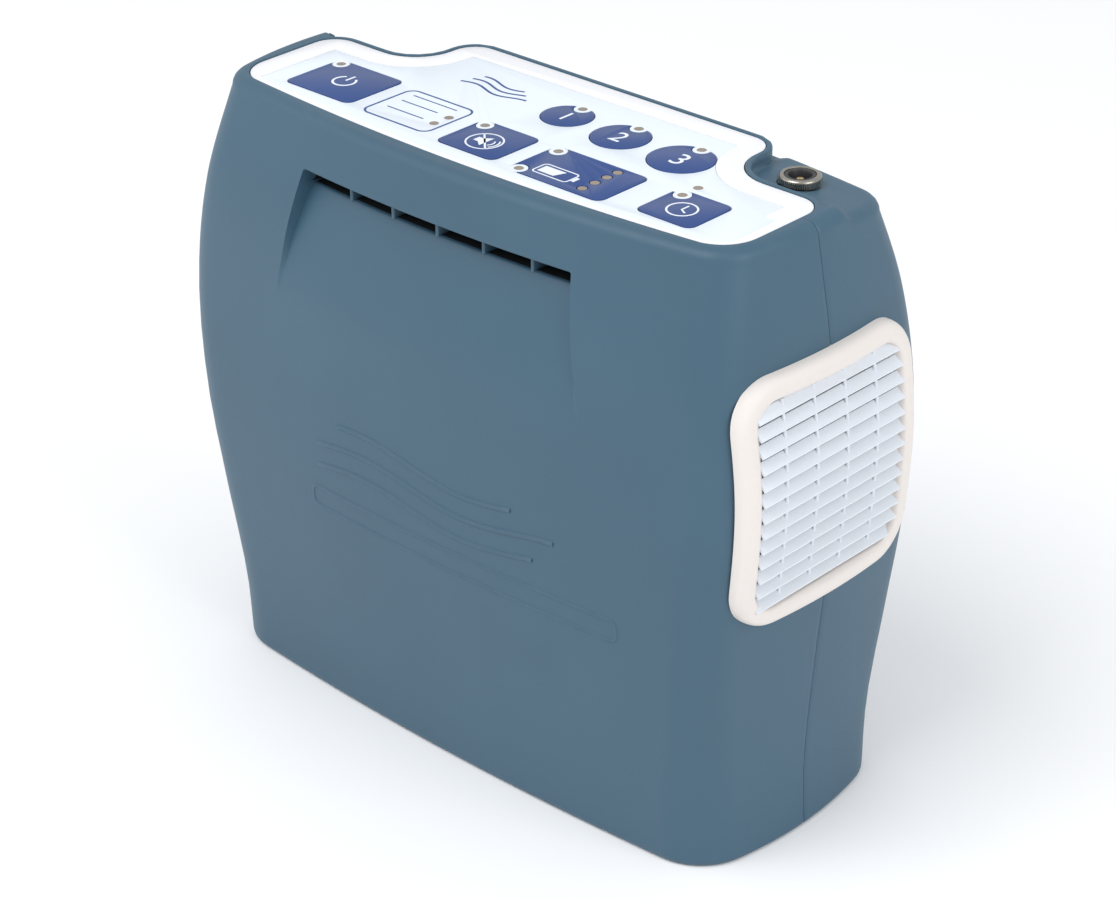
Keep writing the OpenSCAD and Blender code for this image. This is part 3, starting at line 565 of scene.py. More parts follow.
def panel_outline(d):
    half = panel_half(d)
    return half + [(-x, y) for x, y in half[-2:0:-1]]


def along(points, share):
    """The point at a share of a polyline's length."""
    steps = np.hypot(*np.diff(np.array(points), axis=0).T)
    run = np.concatenate([[0], np.cumsum(steps)])
    at = share * run[-1]
    return tuple(float(np.interp(at, run, [p[k] for p in points])) for k in (0, 1))


def smooth_step(low, high, value):
    u = min(1, max(0, (value - low) / (high - low)))
    return u * u * (3 - 2 * u)


def deck_z(x, y):
    """Height of the top outside the panel: the rim's height, the low ledge behind the panel, the
    right shelf that falls to the rear, or the deep recess at the left rear corner."""
    shelf = CASE_H - smooth_step(STEP_Y - 1.6, STEP_Y + 1.6, y) * (CASE_H - SHELF_Z + 0.1 * (y - STEP_Y))
    recess = CASE_H - smooth_step(STEP_Y - 2.2, STEP_Y + 1.8, y) * (CASE_H - RECESS_Z)
    behind = LEDGE_Z if y > 30 else shelf
    if x < 0:
        t = smooth_step(-60, -56, x)
        return recess * (1 - t) + behind * t
    t = smooth_step(57, 62, x)
    return behind * (1 - t) + shelf * t


# %% [markdown]
# ## The two case halves
# Each half is one grid. Its columns run round the case, and its rows climb from the base over
# the rounded foot, the skin, the rounded top edge, the deck and the wall of the panel's rim.
# Columns crowd together at the sides of the scoop and at the steps of the deck, where the form
# turns quickly. Sculpting or booleans alone would leave uneven edges there. The grid is closed
# into a solid, and then the cavity, the intake window and the holes are cut out of it.

# %% Columns and rows of the shells
SIDE_T = [0, 0.012, 0.06, 0.13, 0.2, 0.27, 0.31, 0.34, 0.37, 0.4, 0.43, 0.47, 0.53,
          0.6, 0.68, 0.76, 0.84, 0.92]
CORNER_T = [k / 14 for k in range(14)]
CORNER_TO_SCOOP = [2, 1.9, 1.78, 1.65, 1.52, 1.4, 1.28]
FRONT_T = (CORNER_TO_SCOOP + [1.18, 1.1, 1.05, 1.025, 1.012, 1.0, 0.993, 0.985, 0.975, 0.95, 0.9]
           + [0.84 - 0.07 * k for k in range(12)] + [0.0])
REAR_T = (CORNER_TO_SCOOP + [1.22, 1.16, 1.13, 1.1, 1.07, 1.04, 1.0, 0.9]
          + [0.8 - 0.1 * k for k in range(8)] + [0.0])
FLAT_ROWS = [2.5, 6, 12, 20, 30, 42, 54, 66, 78, 90, 102, 114, 126, 136]
SCOOP_ROWS = [SCOOP_FOOT + (VENT_TOP - SLOT_H - 1.2 - SCOOP_FOOT) * (k / 14) for k in range(15)]
FOLD = [(176.2, 6.1), (176.46, 6.45), (176.5, 7.1), (176.5, 10.5), (176.6, SLOT_DEEP - 0.4),
        (177.2, SLOT_DEEP), (181.2, SLOT_DEEP), (181.9, SLOT_DEEP - 0.4),
        (182.0, 9), (182.0, 3), (182.0, 0.9), (182.15, 0.35), (182.5, 0.06)]
FLAT_OF_FOLD = [175.8 + 0.55 * (k + 1) for k in range(len(FOLD))]
UPPER_ROWS = [184.4, 186.4, 188.4, 190.4, 192.2, CASE_H - EDGE]


def wall_foot(share):
    """Where a column meets the panel's rim (outside) and the panel's opening (inside). share is
    how far the column has come along the way from the front middle to the rear middle."""
    return along(panel_half(-2), share), along(panel_half(-0.3), share)


def column_shares(columns, sign):
    """Matches the columns of a quarter, which start at the seam, with the panel's outline."""
    half = np.array(panel_half(0))
    steps = np.hypot(*np.diff(half, axis=0).T)
    run = np.concatenate([[0], np.cumsum(steps)]) / steps.sum()
    seam_share = float(np.interp(SEAM_Y, half[33:48, 1], run[33:48]))
    spots = np.array([spot(kind, t, CASE_H - EDGE, EDGE, sign) for kind, t in columns])
    lengths = np.concatenate([[0], np.cumsum(np.hypot(*np.diff(spots, axis=0).T))])
    if sign < 0:
        # The front follows the face: equal x in front, equal length round the end
        ends = [abs(p[0]) for p in spots]
        turn = next(k for k, (kind, t) in enumerate(columns) if kind == "face")
        share_at = lambda x: float(np.interp(min(x, 86.3), half[:25, 0], run[:25]))
        first = share_at(ends[turn])
        return [share_at(end) if k >= turn else seam_share + (first - seam_share) * length / lengths[turn]
                for k, (end, length) in enumerate(zip(ends, lengths))]
    straight = float(run[-3])
    turn = next(k for k, p in enumerate(spots) if k > 5 and p[0] <= 53.5 and columns[k][0] == "face")
    return [float(np.interp(-abs(place[0]), [-spots[turn][0], 0], [straight, 1])) if k >= turn
            else seam_share + (straight - seam_share) * length / lengths[turn]
            for k, (place, length) in enumerate(zip(spots, lengths))]


def shell_column(kind, t, sign, mirror, share, first):
    """All points of one column, from the base to the panel's seat."""
    def at(z, inset):
        x, y = spot(kind, t, z, inset + (0.22 if first else 0), sign)
        return x * mirror, y + (0.06 * sign if first else 0)
    wall, opening = wall_foot(share)
    wall, opening = (wall[0] * mirror, wall[1]), (opening[0] * mirror, opening[1])
    edge_x, edge_y = at(CASE_H - EDGE, EDGE)
    top = min(deck_z(edge_x, edge_y), CASE_H)
    low = CASE_H - top
    points = [(*at(0, 2.001), 0.0)]
    for k in (1, 2, 3, 4):
        angle = math.pi / 8 * k
        points.append((*at(2 - 2 * math.cos(angle), 2 - 2 * math.sin(angle)), 2 - 2 * math.cos(angle)))
    in_scoop = sign < 0 and kind == "face"
    weight = (1 - smooth_step(0.985, 1.0, t)) if in_scoop else 0.0
    rows = [(z, 0) for z in FLAT_ROWS] + [(z, scoop_in(z)) for z in SCOOP_ROWS]
    flat = [z for z, depth in rows] + FLAT_OF_FOLD + UPPER_ROWS
    fold = rows + FOLD + [(z, 0) for z in UPPER_ROWS]
    squeeze = (CASE_H - EDGE - low - 150) / (CASE_H - EDGE - 150)
    for z_flat, (z_fold, depth) in zip(flat, fold):
        z = z_flat + (z_fold - z_flat) * weight
        if z > 150:
            z = 150 + (z - 150) * squeeze
        x, y = at(z, 0)
        points.append((x, y - depth * weight * sign, z))
    for k in (1, 2, 3, 4, 5):
        angle = math.pi / 10 * k
        z = top - EDGE + EDGE * math.sin(angle)
        points.append((*at(top - EDGE, EDGE * (1 - math.cos(angle))), z))
    x0, y0 = points[-1][:2]
    gap = math.hypot(wall[0] - x0, wall[1] - y0)
    dx, dy = (wall[0] - x0) / max(gap, 1e-6), (wall[1] - y0) / max(gap, 1e-6)
    step = smooth_step(0.0, 2.4, low)
    fillet = min(2.0, low * 0.7, gap * 0.4)
    foot_z = [min(deck_z(x0 + (wall[0] - x0) * u, y0 + (wall[1] - y0) * u), CASE_H) for u in (0.3, 0.6, 0.85)]
    ends = []
    for u, z in zip((0.3, 0.6, 0.85), foot_z):
        ends.append((x0 + dx * (gap - fillet) * u, y0 + dy * (gap - fillet) * u, z))
    base = foot_z[-1]
    for angle in (0, 30, 60, 90):
        s, c = math.sin(math.radians(angle)), math.cos(math.radians(angle))
        z = min(base + fillet * (1 - c), CASE_H - 0.7)
        ends.append((wall[0] - dx * fillet * (1 - s), wall[1] - dy * fillet * (1 - s), z))
    ends += [(wall[0], wall[1], base + (CASE_H - 0.7 - base) * u) for u in (0.6, 1.0)]
    ends += [(wall[0] + (opening[0] - wall[0]) * u, wall[1] + (opening[1] - wall[1]) * u, CASE_H - drop)
             for u, drop in ((0.12, 0.2), (0.42, 0.0), (0.8, 0.0))]
    # Where the deck is level with the rim, the same rows lie evenly on the flat instead
    n = len(ends)
    for k, (x, y, z) in enumerate(ends):
        u = (k + 1) / (n + 1)
        flat_point = (x0 + (opening[0] - x0) * u, y0 + (opening[1] - y0) * u, CASE_H - low * (1 - u))
        points.append(tuple(a + (b - a) * step for a, b in zip(flat_point, (x, y, z))))
    points += [(*opening, CASE_H - 0.25), (*opening, CASE_H - 1.2), (*opening, CASE_H - 4.0)]
    return points


# %% Build both halves
def shell_half(sign):
    """The front (sign -1) or rear (sign +1) half as one closed solid."""
    quarter = [("side", t) for t in SIDE_T] + [("corner", t) for t in CORNER_T] + [
        ("face", t) for t in (FRONT_T if sign < 0 else REAR_T)]
    shares = column_shares(quarter, sign)
    right_half, left_half = ([shell_column(*quarter[k], sign, mirror, share, k == 0)
                              for k, share in enumerate(shares)] for mirror in (1, -1))
    columns = right_half + left_half[-2::-1]
    rows, n = len(columns[0]), len(columns)
    verts = [p for column in columns for p in column]
    faces = [(i * rows + j, (i + 1) * rows + j, (i + 1) * rows + j + 1, i * rows + j + 1)
             for i in range(n - 1) for j in range(rows - 1)]
    faces.append(tuple(i * rows for i in range(n)))
    faces.append(tuple(i * rows + rows - 1 for i in range(n - 1, -1, -1)))
    faces.append(tuple(range(rows - 1, -1, -1)) + tuple((n - 1) * rows + j for j in range(rows)))
    piece = plain_object("case_front" if sign < 0 else "case_rear", verts, faces)
    print(piece.name, n, "columns,", rows, "rows")
    return piece


front_half, rear_half = shell_half(-1), shell_half(1)

# %% [markdown]
# ## Cutting the case
# The cavity is a plain inner skin: nobody sees it except through the intake window and when the
# grille is off. The window, the screw holes, the recesses for the feet and the two holes in the
# rear corners go through or into the solid, so a boolean suits them well.

# %% Cut the cavity, window and holes
def cavity(sign):
    columns = ([("side", t) for t in (0, 0.3, 0.6)] + [("corner", t) for t in (0, 0.25, 0.5, 0.75)]
               + [("face", t) for t in (2, 1.5, 1, 0.5, 0)])
    rings = []
    for z in (3, 12, 30, 60, 85, 112, 136, 156, 171):
        quarter = [spot(kind, t, z, 2.6, sign) for kind, t in columns]
        limit = 36 if sign < 0 else 60
        ring = [(x, max(-limit, min(limit, y)), z) for x, y in quarter]
        ring[0] = (ring[0][0], SEAM_Y - 3 * sign, z)
        rings.append(ring + [(-x, y, z) for x, y, z in ring[-2::-1]])
    n = len(rings[0])
    verts = [p for ring in rings for p in ring]
    faces = [(k * n + i, k * n + (i + 1) % n, (k + 1) * n + (i + 1) % n, (k + 1) * n + i)
             for k in range(len(rings) - 1) for i in range(n)]
    return verts, faces + [tuple(range(n)), tuple((len(rings) - 1) * n + i for i in range(n - 1, -1, -1))]


def rounded_rect(w, h, r, n=8):
    points = []
    for sx, sy, start in ((1, 1, 0), (-1, 1, 90), (-1, -1, 180), (1, -1, 270)):
        points += arc_points(sx * (w / 2 - r), sy * (h / 2 - r), r, start, start + 90, n)
    return points


GRILLE_Y, GRILLE_Z, GRILLE_W, GRILLE_H, BAND = -4.0, 124.5, 74.0, 77.0, 8.5
SCREWS = [(-94, 17), (94, 17), (-97, 163), (97, 163)]
window_verts, window_faces = prism(rounded_rect(GRILLE_W - 2 * BAND, GRILLE_H - 2 * BAND, 14 - BAND), 60, 140)
window = ([(z, x + GRILLE_Y, y + GRILLE_Z) for x, y, z in window_verts], window_faces)
pads = [disc(x, y, 8.0, -1, 1.52) for x in (-78, 78) for y in (-30, 30)]
carve(front_half, plain_object("cut", *cavity(-1)))
carve(front_half, plain_object("cut", *joined(window, pads[0], pads[2])))
carve(rear_half, plain_object("cut", *cavity(1)))
holes = [rod_y(x, z, 3.4, 11, 70) for x, z in SCREWS]
JACK, OUTLET = (78.3, 24.2, 196.7), (-80, 27, RECESS_Z)
holes += [disc(*JACK[:2], 6.75, 193.5, 200), disc(*OUTLET[:2], 3.1, 165, 178)]
carve(rear_half, plain_object("cut", *joined(window, pads[1], pads[3], *holes)))
carve(rear_half, plain_object("cut", *disc(*JACK[:2], 4.7, 160, 193.6)))
for half in (front_half, rear_half):
    carve(half, plain_object("cut", *prism(panel_outline(3), 187.5, 194.0)))
print("cut:", len(front_half.data.polygons), "and", len(rear_half.data.polygons), "faces")

# %% Paint shade into the deep slot and finish the halves
# Faces this deep inside the vent slot get the near-black finish: painted shade in place of the slot's shadow
SLOT_SHADE_FROM = 6.9
for half, node in ((front_half, "front_shell"), (rear_half, "rear_shell")):
    half.data.materials.clear()
    half.data.materials.append(FINISHES["case_plastic"])
    half.data.materials.append(FINISHES["slot_dark"])
    for face in half.data.polygons:
        x, y, z = (c / MM for c in face.center)
        deep = -face_y(min(abs(x), 60), z) + SLOT_SHADE_FROM < y < -20
        face.material_index = int(node == "front_shell" and 176 < z < 182.3 and abs(x) < 54.5 and deep)
    settle(half, "case_plastic", "case", 38, (node,))
print("the two halves are dressed")

# %% [markdown]
# ## Geometry Nodes for what repeats
# Slats, ribs, knurl teeth and the lines pressed into the front all repeat a shape or follow a
# path. One tree puts a copy of a small mesh on every point of another mesh and turns it to that
# point's normal. The other sweeps a round profile along a path. Both end in Realize
# Instances and Set Material, and the result is kept as a plain mesh.

# %% The two trees
def node_tree(name, sockets):
    tree = bpy.data.node_groups.new(name, "GeometryNodeTree")
    tree.interface.new_socket("Geometry", in_out="INPUT", socket_type="NodeSocketGeometry")
    ids = {label: tree.interface.new_socket(label, in_out="INPUT", socket_type="NodeSocket" + kind).identifier
           for label, kind in sockets}
    tree.interface.new_socket("Geometry", in_out="OUTPUT", socket_type="NodeSocketGeometry")
    return tree, ids, tree.nodes.new("NodeGroupInput"), tree.nodes.new("NodeGroupOutput")


def end_tree(tree, last, given, result):
    realize = tree.nodes.new("GeometryNodeRealizeInstances")
    paint = tree.nodes.new("GeometryNodeSetMaterial")
    tree.links.new(last, realize.inputs[0])
    tree.links.new(realize.outputs[0], paint.inputs["Geometry"])
    tree.links.new(given.outputs["Finish"], paint.inputs["Material"])
    tree.links.new(paint.outputs[0], result.inputs[0])


def make_repeat_tree():
    tree, ids, given, result = node_tree("repeat_on_points", [
        ("Element", "Object"), ("Follow normal", "Float"), ("Finish", "Material")])
    element = tree.nodes.new("GeometryNodeObjectInfo")
    copies = tree.nodes.new("GeometryNodeInstanceOnPoints")
    turn = tree.nodes.new("FunctionNodeAlignRotationToVector")
    turn.axis = "X"
    normal = tree.nodes.new("GeometryNodeInputNormal")
    tree.links.new(given.outputs["Element"], element.inputs["Object"])
    tree.links.new(given.outputs["Geometry"], copies.inputs["Points"])
    tree.links.new(element.outputs["Geometry"], copies.inputs["Instance"])
    tree.links.new(given.outputs["Follow normal"], turn.inputs["Factor"])
    tree.links.new(normal.outputs[0], turn.inputs["Vector"])
    tree.links.new(turn.outputs[0], copies.inputs["Rotation"])
    end_tree(tree, copies.outputs[0], given, result)
    return tree, ids


def make_sweep_tree():
    tree, ids, given, result = node_tree("sweep_along", [
        ("Radius", "Float"), ("Sides", "Int"), ("Finish", "Material")])
    path = tree.nodes.new("GeometryNodeMeshToCurve")
    profile = tree.nodes.new("GeometryNodeCurvePrimitiveCircle")
    tube = tree.nodes.new("GeometryNodeCurveToMesh")
    tree.links.new(given.outputs["Geometry"], path.inputs[0])
    tree.links.new(given.outputs["Sides"], profile.inputs["Resolution"])
    tree.links.new(given.outputs["Radius"], profile.inputs["Radius"])
    tree.links.new(path.outputs[0], tube.inputs["Curve"])
    tree.links.new(profile.outputs[0], tube.inputs["Profile Curve"])
    tube.inputs["Fill Caps"].default_value = True
    end_tree(tree, tube.outputs[0], given, result)
    return tree, ids


REPEAT, REPEAT_IDS = make_repeat_tree()
SWEEP, SWEEP_IDS = make_sweep_tree()


def grow(name, verts, edges, tree, ids, values, slot, body="case", smooth=40, replaced=()):
    """Runs a tree on points and edges in millimetres, and keeps the result as a plain piece."""
    mesh = bpy.data.meshes.new(name)
    mesh.from_pydata(metres(verts), edges, [])
    piece = bpy.data.objects.new(name, mesh)
    scene.collection.objects.link(piece)
    step = piece.modifiers.new("grow", "NODES")
    step.node_group = tree
    for label, value in values.items():
        step[ids[label]] = value
    step[ids["Finish"]] = FINISHES[slot]
    applied(piece)
    return settle(piece, slot, body, smooth, replaced)


def repeat(name, points, element, slot, body="case", follow=0.0, replaced=()):
    """Copies of an element on points. The element object is removed afterwards."""
    values = {"Element": element, "Follow normal": follow}
    piece = grow(name, points, [], REPEAT, REPEAT_IDS, values, slot, body, 40, replaced)
    bpy.data.objects.remove(element)
    return piece


def sweep(name, paths, radius, slot, body="case", closed=False):
    """Round beads along paths."""
    verts, edges = [], []
    for path in paths:
        start = len(verts)
        verts += path
        edges += [(start + k, start + k + 1) for k in range(len(path) - 1)]
        if closed:
            edges.append((start + len(path) - 1, start))
    return grow(name, verts, edges, SWEEP, SWEEP_IDS, {"Radius": radius * MM, "Sides": 10}, slot, body, 50)


print("trees:", REPEAT.name, SWEEP.name)

# %% [markdown]
# ## Ribs across the slot
# Five thin upright ribs cross the vent slot, level with the wall of the scoop, so that nothing
# large can fall in. Their places follow the bowed face, and one tree copies the rib.

# %% Vent ribs
RIB_W, RIB_TALL, RIB_DEEP, RIB_BACK, RIB_PITCH, RIB_Z = 1.3, 6.2, 8.0, 5.4, 18.3, 179.25
nose = [(RIB_W / 2 * math.cos(a), -0.55 * math.sin(a)) for a in np.linspace(0, math.pi, 9)]
rib_outline = nose + [(-RIB_W / 2, RIB_DEEP), (RIB_W / 2, RIB_DEEP)]
rib_element = plain_object("rib", *prism(rib_outline, -RIB_TALL / 2, RIB_TALL / 2))
rib_places = [(k * RIB_PITCH, RIB_BACK - face_y(abs(k) * RIB_PITCH, 179.2), RIB_Z) for k in range(-2, 3)]
repeat("vent_ribs", rib_places, rib_element, "case_plastic")
print("ribs:", len(rib_places))

# %% [markdown]
# ## Lines pressed into the front
# The front carries a plain sign for moving air: a long rounded bar and three flowing lines. All
# are half sunk beads that follow the swelling face.

# %% Front relief
def on_front(x, z):
    """A point half a millimetre under the front face."""
    return (x, 0.5 - face_y(abs(x), z), z)


def bead(path):
    """Points along a closed path of (x, z) pairs, close enough together to follow the face."""
    result = []
    for a, b in zip(path, path[1:] + path[:1]):
        n = max(1, int(math.dist(a, b) / 3))
        result += [on_front(a[0] + (b[0] - a[0]) * k / n, a[1] + (b[1] - a[1]) * k / n) for k in range(n)]
    return result


flow = [[on_front(x, z + 2.4 * math.sin((x + 44) / 41 * math.pi)) for x in np.linspace(x0, x1, 44)]
        for x0, x1, z in ((-34, 38, 105), (-44, 54, 97.5), (-44, 46, 90))]
bar = bead([(x + 14, z + 78) for x, z in rounded_rect(124, 7, 2.4, 5)])
sweep("front_air_lines", flow, 0.95, "case_plastic")
sweep("front_bar", [bar], 0.8, "case_plastic", closed=True)
print("relief: 3 lines and a bar")

# %% [markdown]
# ## The control panel
# The panel is a white moulded frame with a thin printed film in it. The CAD's plates are right
# in shape, but their edges are knife sharp, and a real moulding shows a bright line along each
# edge. So each plate is a merged copy with its edges rounded. The keys get the same.

# %% Frame, film and keys
KEYS = ["key_power", "key_mute", "key_battery", "key_hours", "key_flow_1", "key_flow_2", "key_flow_3"]
rounded_copy("panel_frame", "control_bezel", "panel_white", width=0.35)
rounded_copy("panel_film", "keypad_overlay", "overlay_film", width=0.08, segments=2)
for key in KEYS:
    rounded_copy(key + "_cap", key, "key_blue", key, width=0.15, segments=2, replaced=(key,))
KEY_TOP, FILM_TOP = CASE_H - 0.5, CASE_H - 0.6
print("panel: frame, film and", len(KEYS), "keys")

# %% [markdown]
# ## Printed symbols
# The signs on the keys are printed: thin flat shapes a few hundredths of a millimetre above the
# key, which ride with it. They are universal signs only: power, sound off, a battery gauge, a
# clock for the hour counter, and the numbers of the three flow settings.

# %% Symbols on the keys
def strip(points, width, closed=False):
    """A flat ribbon of one width along points in the plane."""
    points = [Vector(p) for p in points]
    n = len(points)
    edge = []
    for k in range(n):
        before = points[k - 1] if k > 0 or closed else points[k]
        after = points[(k + 1) % n] if k < n - 1 or closed else points[k]
        across = (after - before).normalized().orthogonal() * (width / 2)
        edge.append((points[k] + across, points[k] - across))
    verts = [tuple(p) for pair in edge for p in pair]
    faces = [(2 * k, 2 * k + 1, (2 * k + 3) % (2 * n), (2 * k + 2) % (2 * n))
             for k in range(n if closed else n - 1)]
    return verts, faces


def printed(name, parts, z, body, material):
    """Flat printing: ribbons and plates given in the plane, as one thin mesh."""
    verts, faces = joined(*[([(x, y, z) for x, y in part[0]], part[1]) for part in parts])
    flat = plain_object(name, verts, faces)
    for face in flat.data.polygons:
        if face.normal.z < 0:
            face.flip()
    flat.data.update()
    ink = flat.modifiers.new("ink", "SOLIDIFY")
    ink.thickness, ink.offset = 0.04 * MM, 1
    applied(flat)
    flat.data.materials.append(FINISHES[material])
    return settle(flat, "overlay_film", body, 30)


def plate(points):
    return list(points), [tuple(range(len(points)))]


def ring(x, y, r, n=40, start=0, end=360):
    """Points round a circle, or along part of one, both ends included."""
    angles = [math.radians(start + (end - start) * k / n) for k in range(n + (end - start != 360))]
    return [(x + r * math.cos(a), y + r * math.sin(a)) for a in angles]


def shifted(x, y, points):
    return [(x + a, y + b) for a, b in points]


INK = KEY_TOP + 0.01
x, y = -67.9, -13.9
power = [strip(ring(x, y, 3.6, 30, 125, 415), 0.75), strip([(x, y + 0.6), (x, y + 4.6)], 0.75)]
printed("sign_power", power, INK, "key_power", "print_white")

x, y = -3.4, -19.2
horn = shifted(x, y, [(0.8, -3.2), (0.8, 3.2), (-1.6, 1.3), (-3.4, 1.3), (-3.4, -1.3), (-1.6, -1.3)])
sound = [strip(ring(x + 0.8, y, 2.4, 12, -45, 45), 0.5), strip(ring(x + 0.8, y, 3.9, 12, -42, 42), 0.5)]
mute = [strip(ring(x, y, 5.6), 0.55, True), strip([(x - 3.9, y + 3.9), (x + 3.9, y - 3.9)], 0.6), plate(horn)]
printed("sign_mute", mute + sound, INK, "key_mute", "print_white")

x, y = 27.6, -22.4
outer = strip(shifted(x, y, rounded_rect(13, 6.4, 1.2, 4)), 0.5, True)
charge = plate(shifted(x, y, [(-5.3, -2.0), (0.8, -2.0), (2.4, 2.0), (-5.3, 2.0)]))
pole = plate(shifted(x, y, [(6.9, -1.4), (8.1, -1.4), (8.1, 1.4), (6.9, 1.4)]))
printed("sign_battery", [outer, charge, pole], INK, "key_battery", "print_white")

x, y = 70.6, -17.6
clock = [strip(ring(x, y, 4.4), 0.6, True), strip(shifted(x, y, [(0, 2.9), (0, -0.2), (2.2, -1.5)]), 0.6)]
printed("sign_hours", clock, INK, "key_hours", "print_white")


def digit(name, text, x, y, size, body):
    letter = bpy.data.curves.new(name, "FONT")
    letter.body, letter.size = text, size * MM
    letter.align_x, letter.align_y = "CENTER", "CENTER"
    letter.extrude, letter.resolution_u = 0.02 * MM, 6
    holder = bpy.data.objects.new(name, letter)
    scene.collection.objects.link(holder)
    bpy.context.view_layer.update()
    mesh = bpy.data.meshes.new_from_object(holder.evaluated_get(bpy.context.evaluated_depsgraph_get()))
    bpy.data.objects.remove(holder)
    mesh.transform(Matrix.Translation(Vector((x, y, INK + 0.02)) * MM))
    work = bmesh.new()
    work.from_mesh(mesh)
    bmesh.ops.remove_doubles(work, verts=work.verts, dist=1e-6)
    work.to_mesh(mesh)
    work.free()
    mesh.materials.clear()
    mesh.materials.append(FINISHES["print_white"])
    piece = bpy.data.objects.new(name, mesh)
    scene.collection.objects.link(piece)
    return settle(piece, "overlay_film", body, 30)


for k, (x, y, r) in enumerate([(1.2, 10.9, 8), (23.5, 9.5, 9), (47.4, 8.8, 10)], 1):
    digit("number_%d" % k, str(k), x, y - 0.8, r * 1.05, "key_flow_%d" % k)
print("symbols printed on", len(KEYS), "keys")

# %% [markdown]
# ## Printing on the film
# Round the mode lamps the film has a blue rounded line, with a short bar for each mode. Further
# back there is a small sign of three waves. No words are printed.

# %% Lines on the film
FILM_INK = FILM_TOP + 0.01


def wave(k):
    """The k-th wave line, a little shorter than the one before it."""
    return [(-42 + 26 * u, 10.0 + 3.1 * k + 1.3 * math.sin(2 * math.pi * u * 1.25))
            for u in np.linspace(0.06 * k, 1 - 0.1 * k, 30)]


frame_line = strip(shifted(-34.4, -15.5, rounded_rect(27, 21.6, 3.2, 8)), 0.7, True)
bars = [strip([(x, y), (x + w, y)], 0.5) for x, y, w in ((-44, -12.9, 15), (-44, -18.9, 15), (-44, -7.9, 18))]
printed("film_lines", [frame_line], FILM_INK, "case", "print_blue")
printed("film_waves", [strip(wave(k), 0.8) for k in range(3)], FILM_INK, "case", "print_blue")
printed("film_mode_bars", bars, FILM_INK, "case", "print_blue")
print("film printed")

# %% [markdown]
# ## The intake grille
# The grille's ring is a soft band that hugs the swollen side. A tube along a rounded square would
# be too round, so the section is drawn: a low rounded back, an inner ledge, and a sleeve that
# goes in through the window. It is placed point by point on the side's curve.

# %% Grille ring
RING_TALL, RING_HALF, RING_CORNER, SLEEVE_X, TURNS = 4.3, 3.3, 14, 103.0, 160


def ring_section():
    """Points round the section: the distance in from the outer edge, the height above the side,
    and 1 where the height is a fixed x instead, deep in the window."""
    back = [(RING_HALF - RING_HALF * math.copysign(abs(math.cos(a))**0.7, math.cos(a)),
             RING_TALL * abs(math.sin(a))**0.7, 0) for a in np.linspace(0, math.pi, 19)]
    back[0], back[-1] = (back[0][0], -0.3, 0), (back[-1][0], 0.5, 0)
    return back + [(9.2, 0.3, 0), (9.6, -0.6, 0), (9.6, SLEEVE_X, 1), (8.8, SLEEVE_X, 1),
                   (8.7, -1.6, 0), (6.0, -0.4, 0), (3.0, -0.4, 0)]


def ring_point(turn, inset, height, fixed):
    outline = rounded_rect(GRILLE_W - 2 * inset, GRILLE_H - 2 * inset, max(RING_CORNER - inset, 3.2), 10)
    y, z = along(outline + outline[:1], turn / TURNS)
    y, z = y + GRILLE_Y, z + GRILLE_Z
    return (height if fixed else side_x(y, z) + height, y, z)


section = ring_section()
ring_verts = [ring_point(turn, *point) for turn in range(TURNS) for point in section]
ring_faces = wrapped(TURNS, len(section))
ring_piece = plain_object("grille_ring", ring_verts, ring_faces)
settle(ring_piece, "grille_warm_white", "grille_cover", 50, ("grille_bezel",))
print("grille ring:", len(ring_faces), "faces")

# %% [markdown]
# ## Louvre slats
# Thirteen broad slats slope down and out, so that rain and fingers stay out, and four thin bars
# behind tie them together. The whole louvre swells with the side, just inside the ring. One slat
# is shaped with a blunt front edge and the tree repeats it; the bars are swept along the swell.

# %% Louvre
RING_BAND, SLATS, LOUVRE_OUT = 6.5, 13, 0.7
LOUVRE_W, LOUVRE_H = GRILLE_W - 2 * RING_BAND, GRILLE_H - 2 * RING_BAND
pitch = LOUVRE_H / SLATS
slat_section = [(1.1, -1.8), (1.4, -1.55), (1.4, -1.2), (-1.0, 1.5), (-1.35, 1.45), (-1.4, 1.1)]
slat_verts = [(x, y, z) for y in (-LOUVRE_W / 2 - 0.8, LOUVRE_W / 2 + 0.8) for x, z in slat_section]
slat_faces = [(k, (k + 1) % 6, 6 + (k + 1) % 6, 6 + k) for k in range(6)]
slat_faces += [tuple(range(5, -1, -1)), tuple(range(6, 12))]
slat = plain_object("slat", slat_verts, slat_faces)


def louvre_x(z):
    return side_x(GRILLE_Y, z) + LOUVRE_OUT


heights = [GRILLE_Z + (k + 0.5 - SLATS / 2) * pitch for k in range(SLATS)]
slat_places = [(louvre_x(z), GRILLE_Y, z) for z in heights]
repeat("louvre_slats", slat_places, slat, "louvre_white", "grille_cover", replaced=("grille_louvre",))
tie_heights = np.linspace(heights[0] - 2, heights[-1] + 2, 30)
ties = [[(louvre_x(z) - 0.25, GRILLE_Y + (k - 1.5) * 13.4, z) for z in tie_heights] for k in range(4)]
sweep("louvre_ties", ties, 0.55, "louvre_white", "grille_cover")
print("louvre:", SLATS, "slats,", len(ties), "ties")

# %% [markdown]
# ## Jack, outlet and screw sleeves
# The power jack is a dark turned body held by a bright nut with a straight knurl. The knurl is
# sixty little teeth that the tree sets round the nut. The oxygen outlet is a turned barb, whose
# edges are rounded in its profile.

# %% Turned parts
def turned(name, profile, place, sides, slot, node):
    settle(plain_object(name, *lathe(profile, place, sides)), slot, "case", 35, (node,))


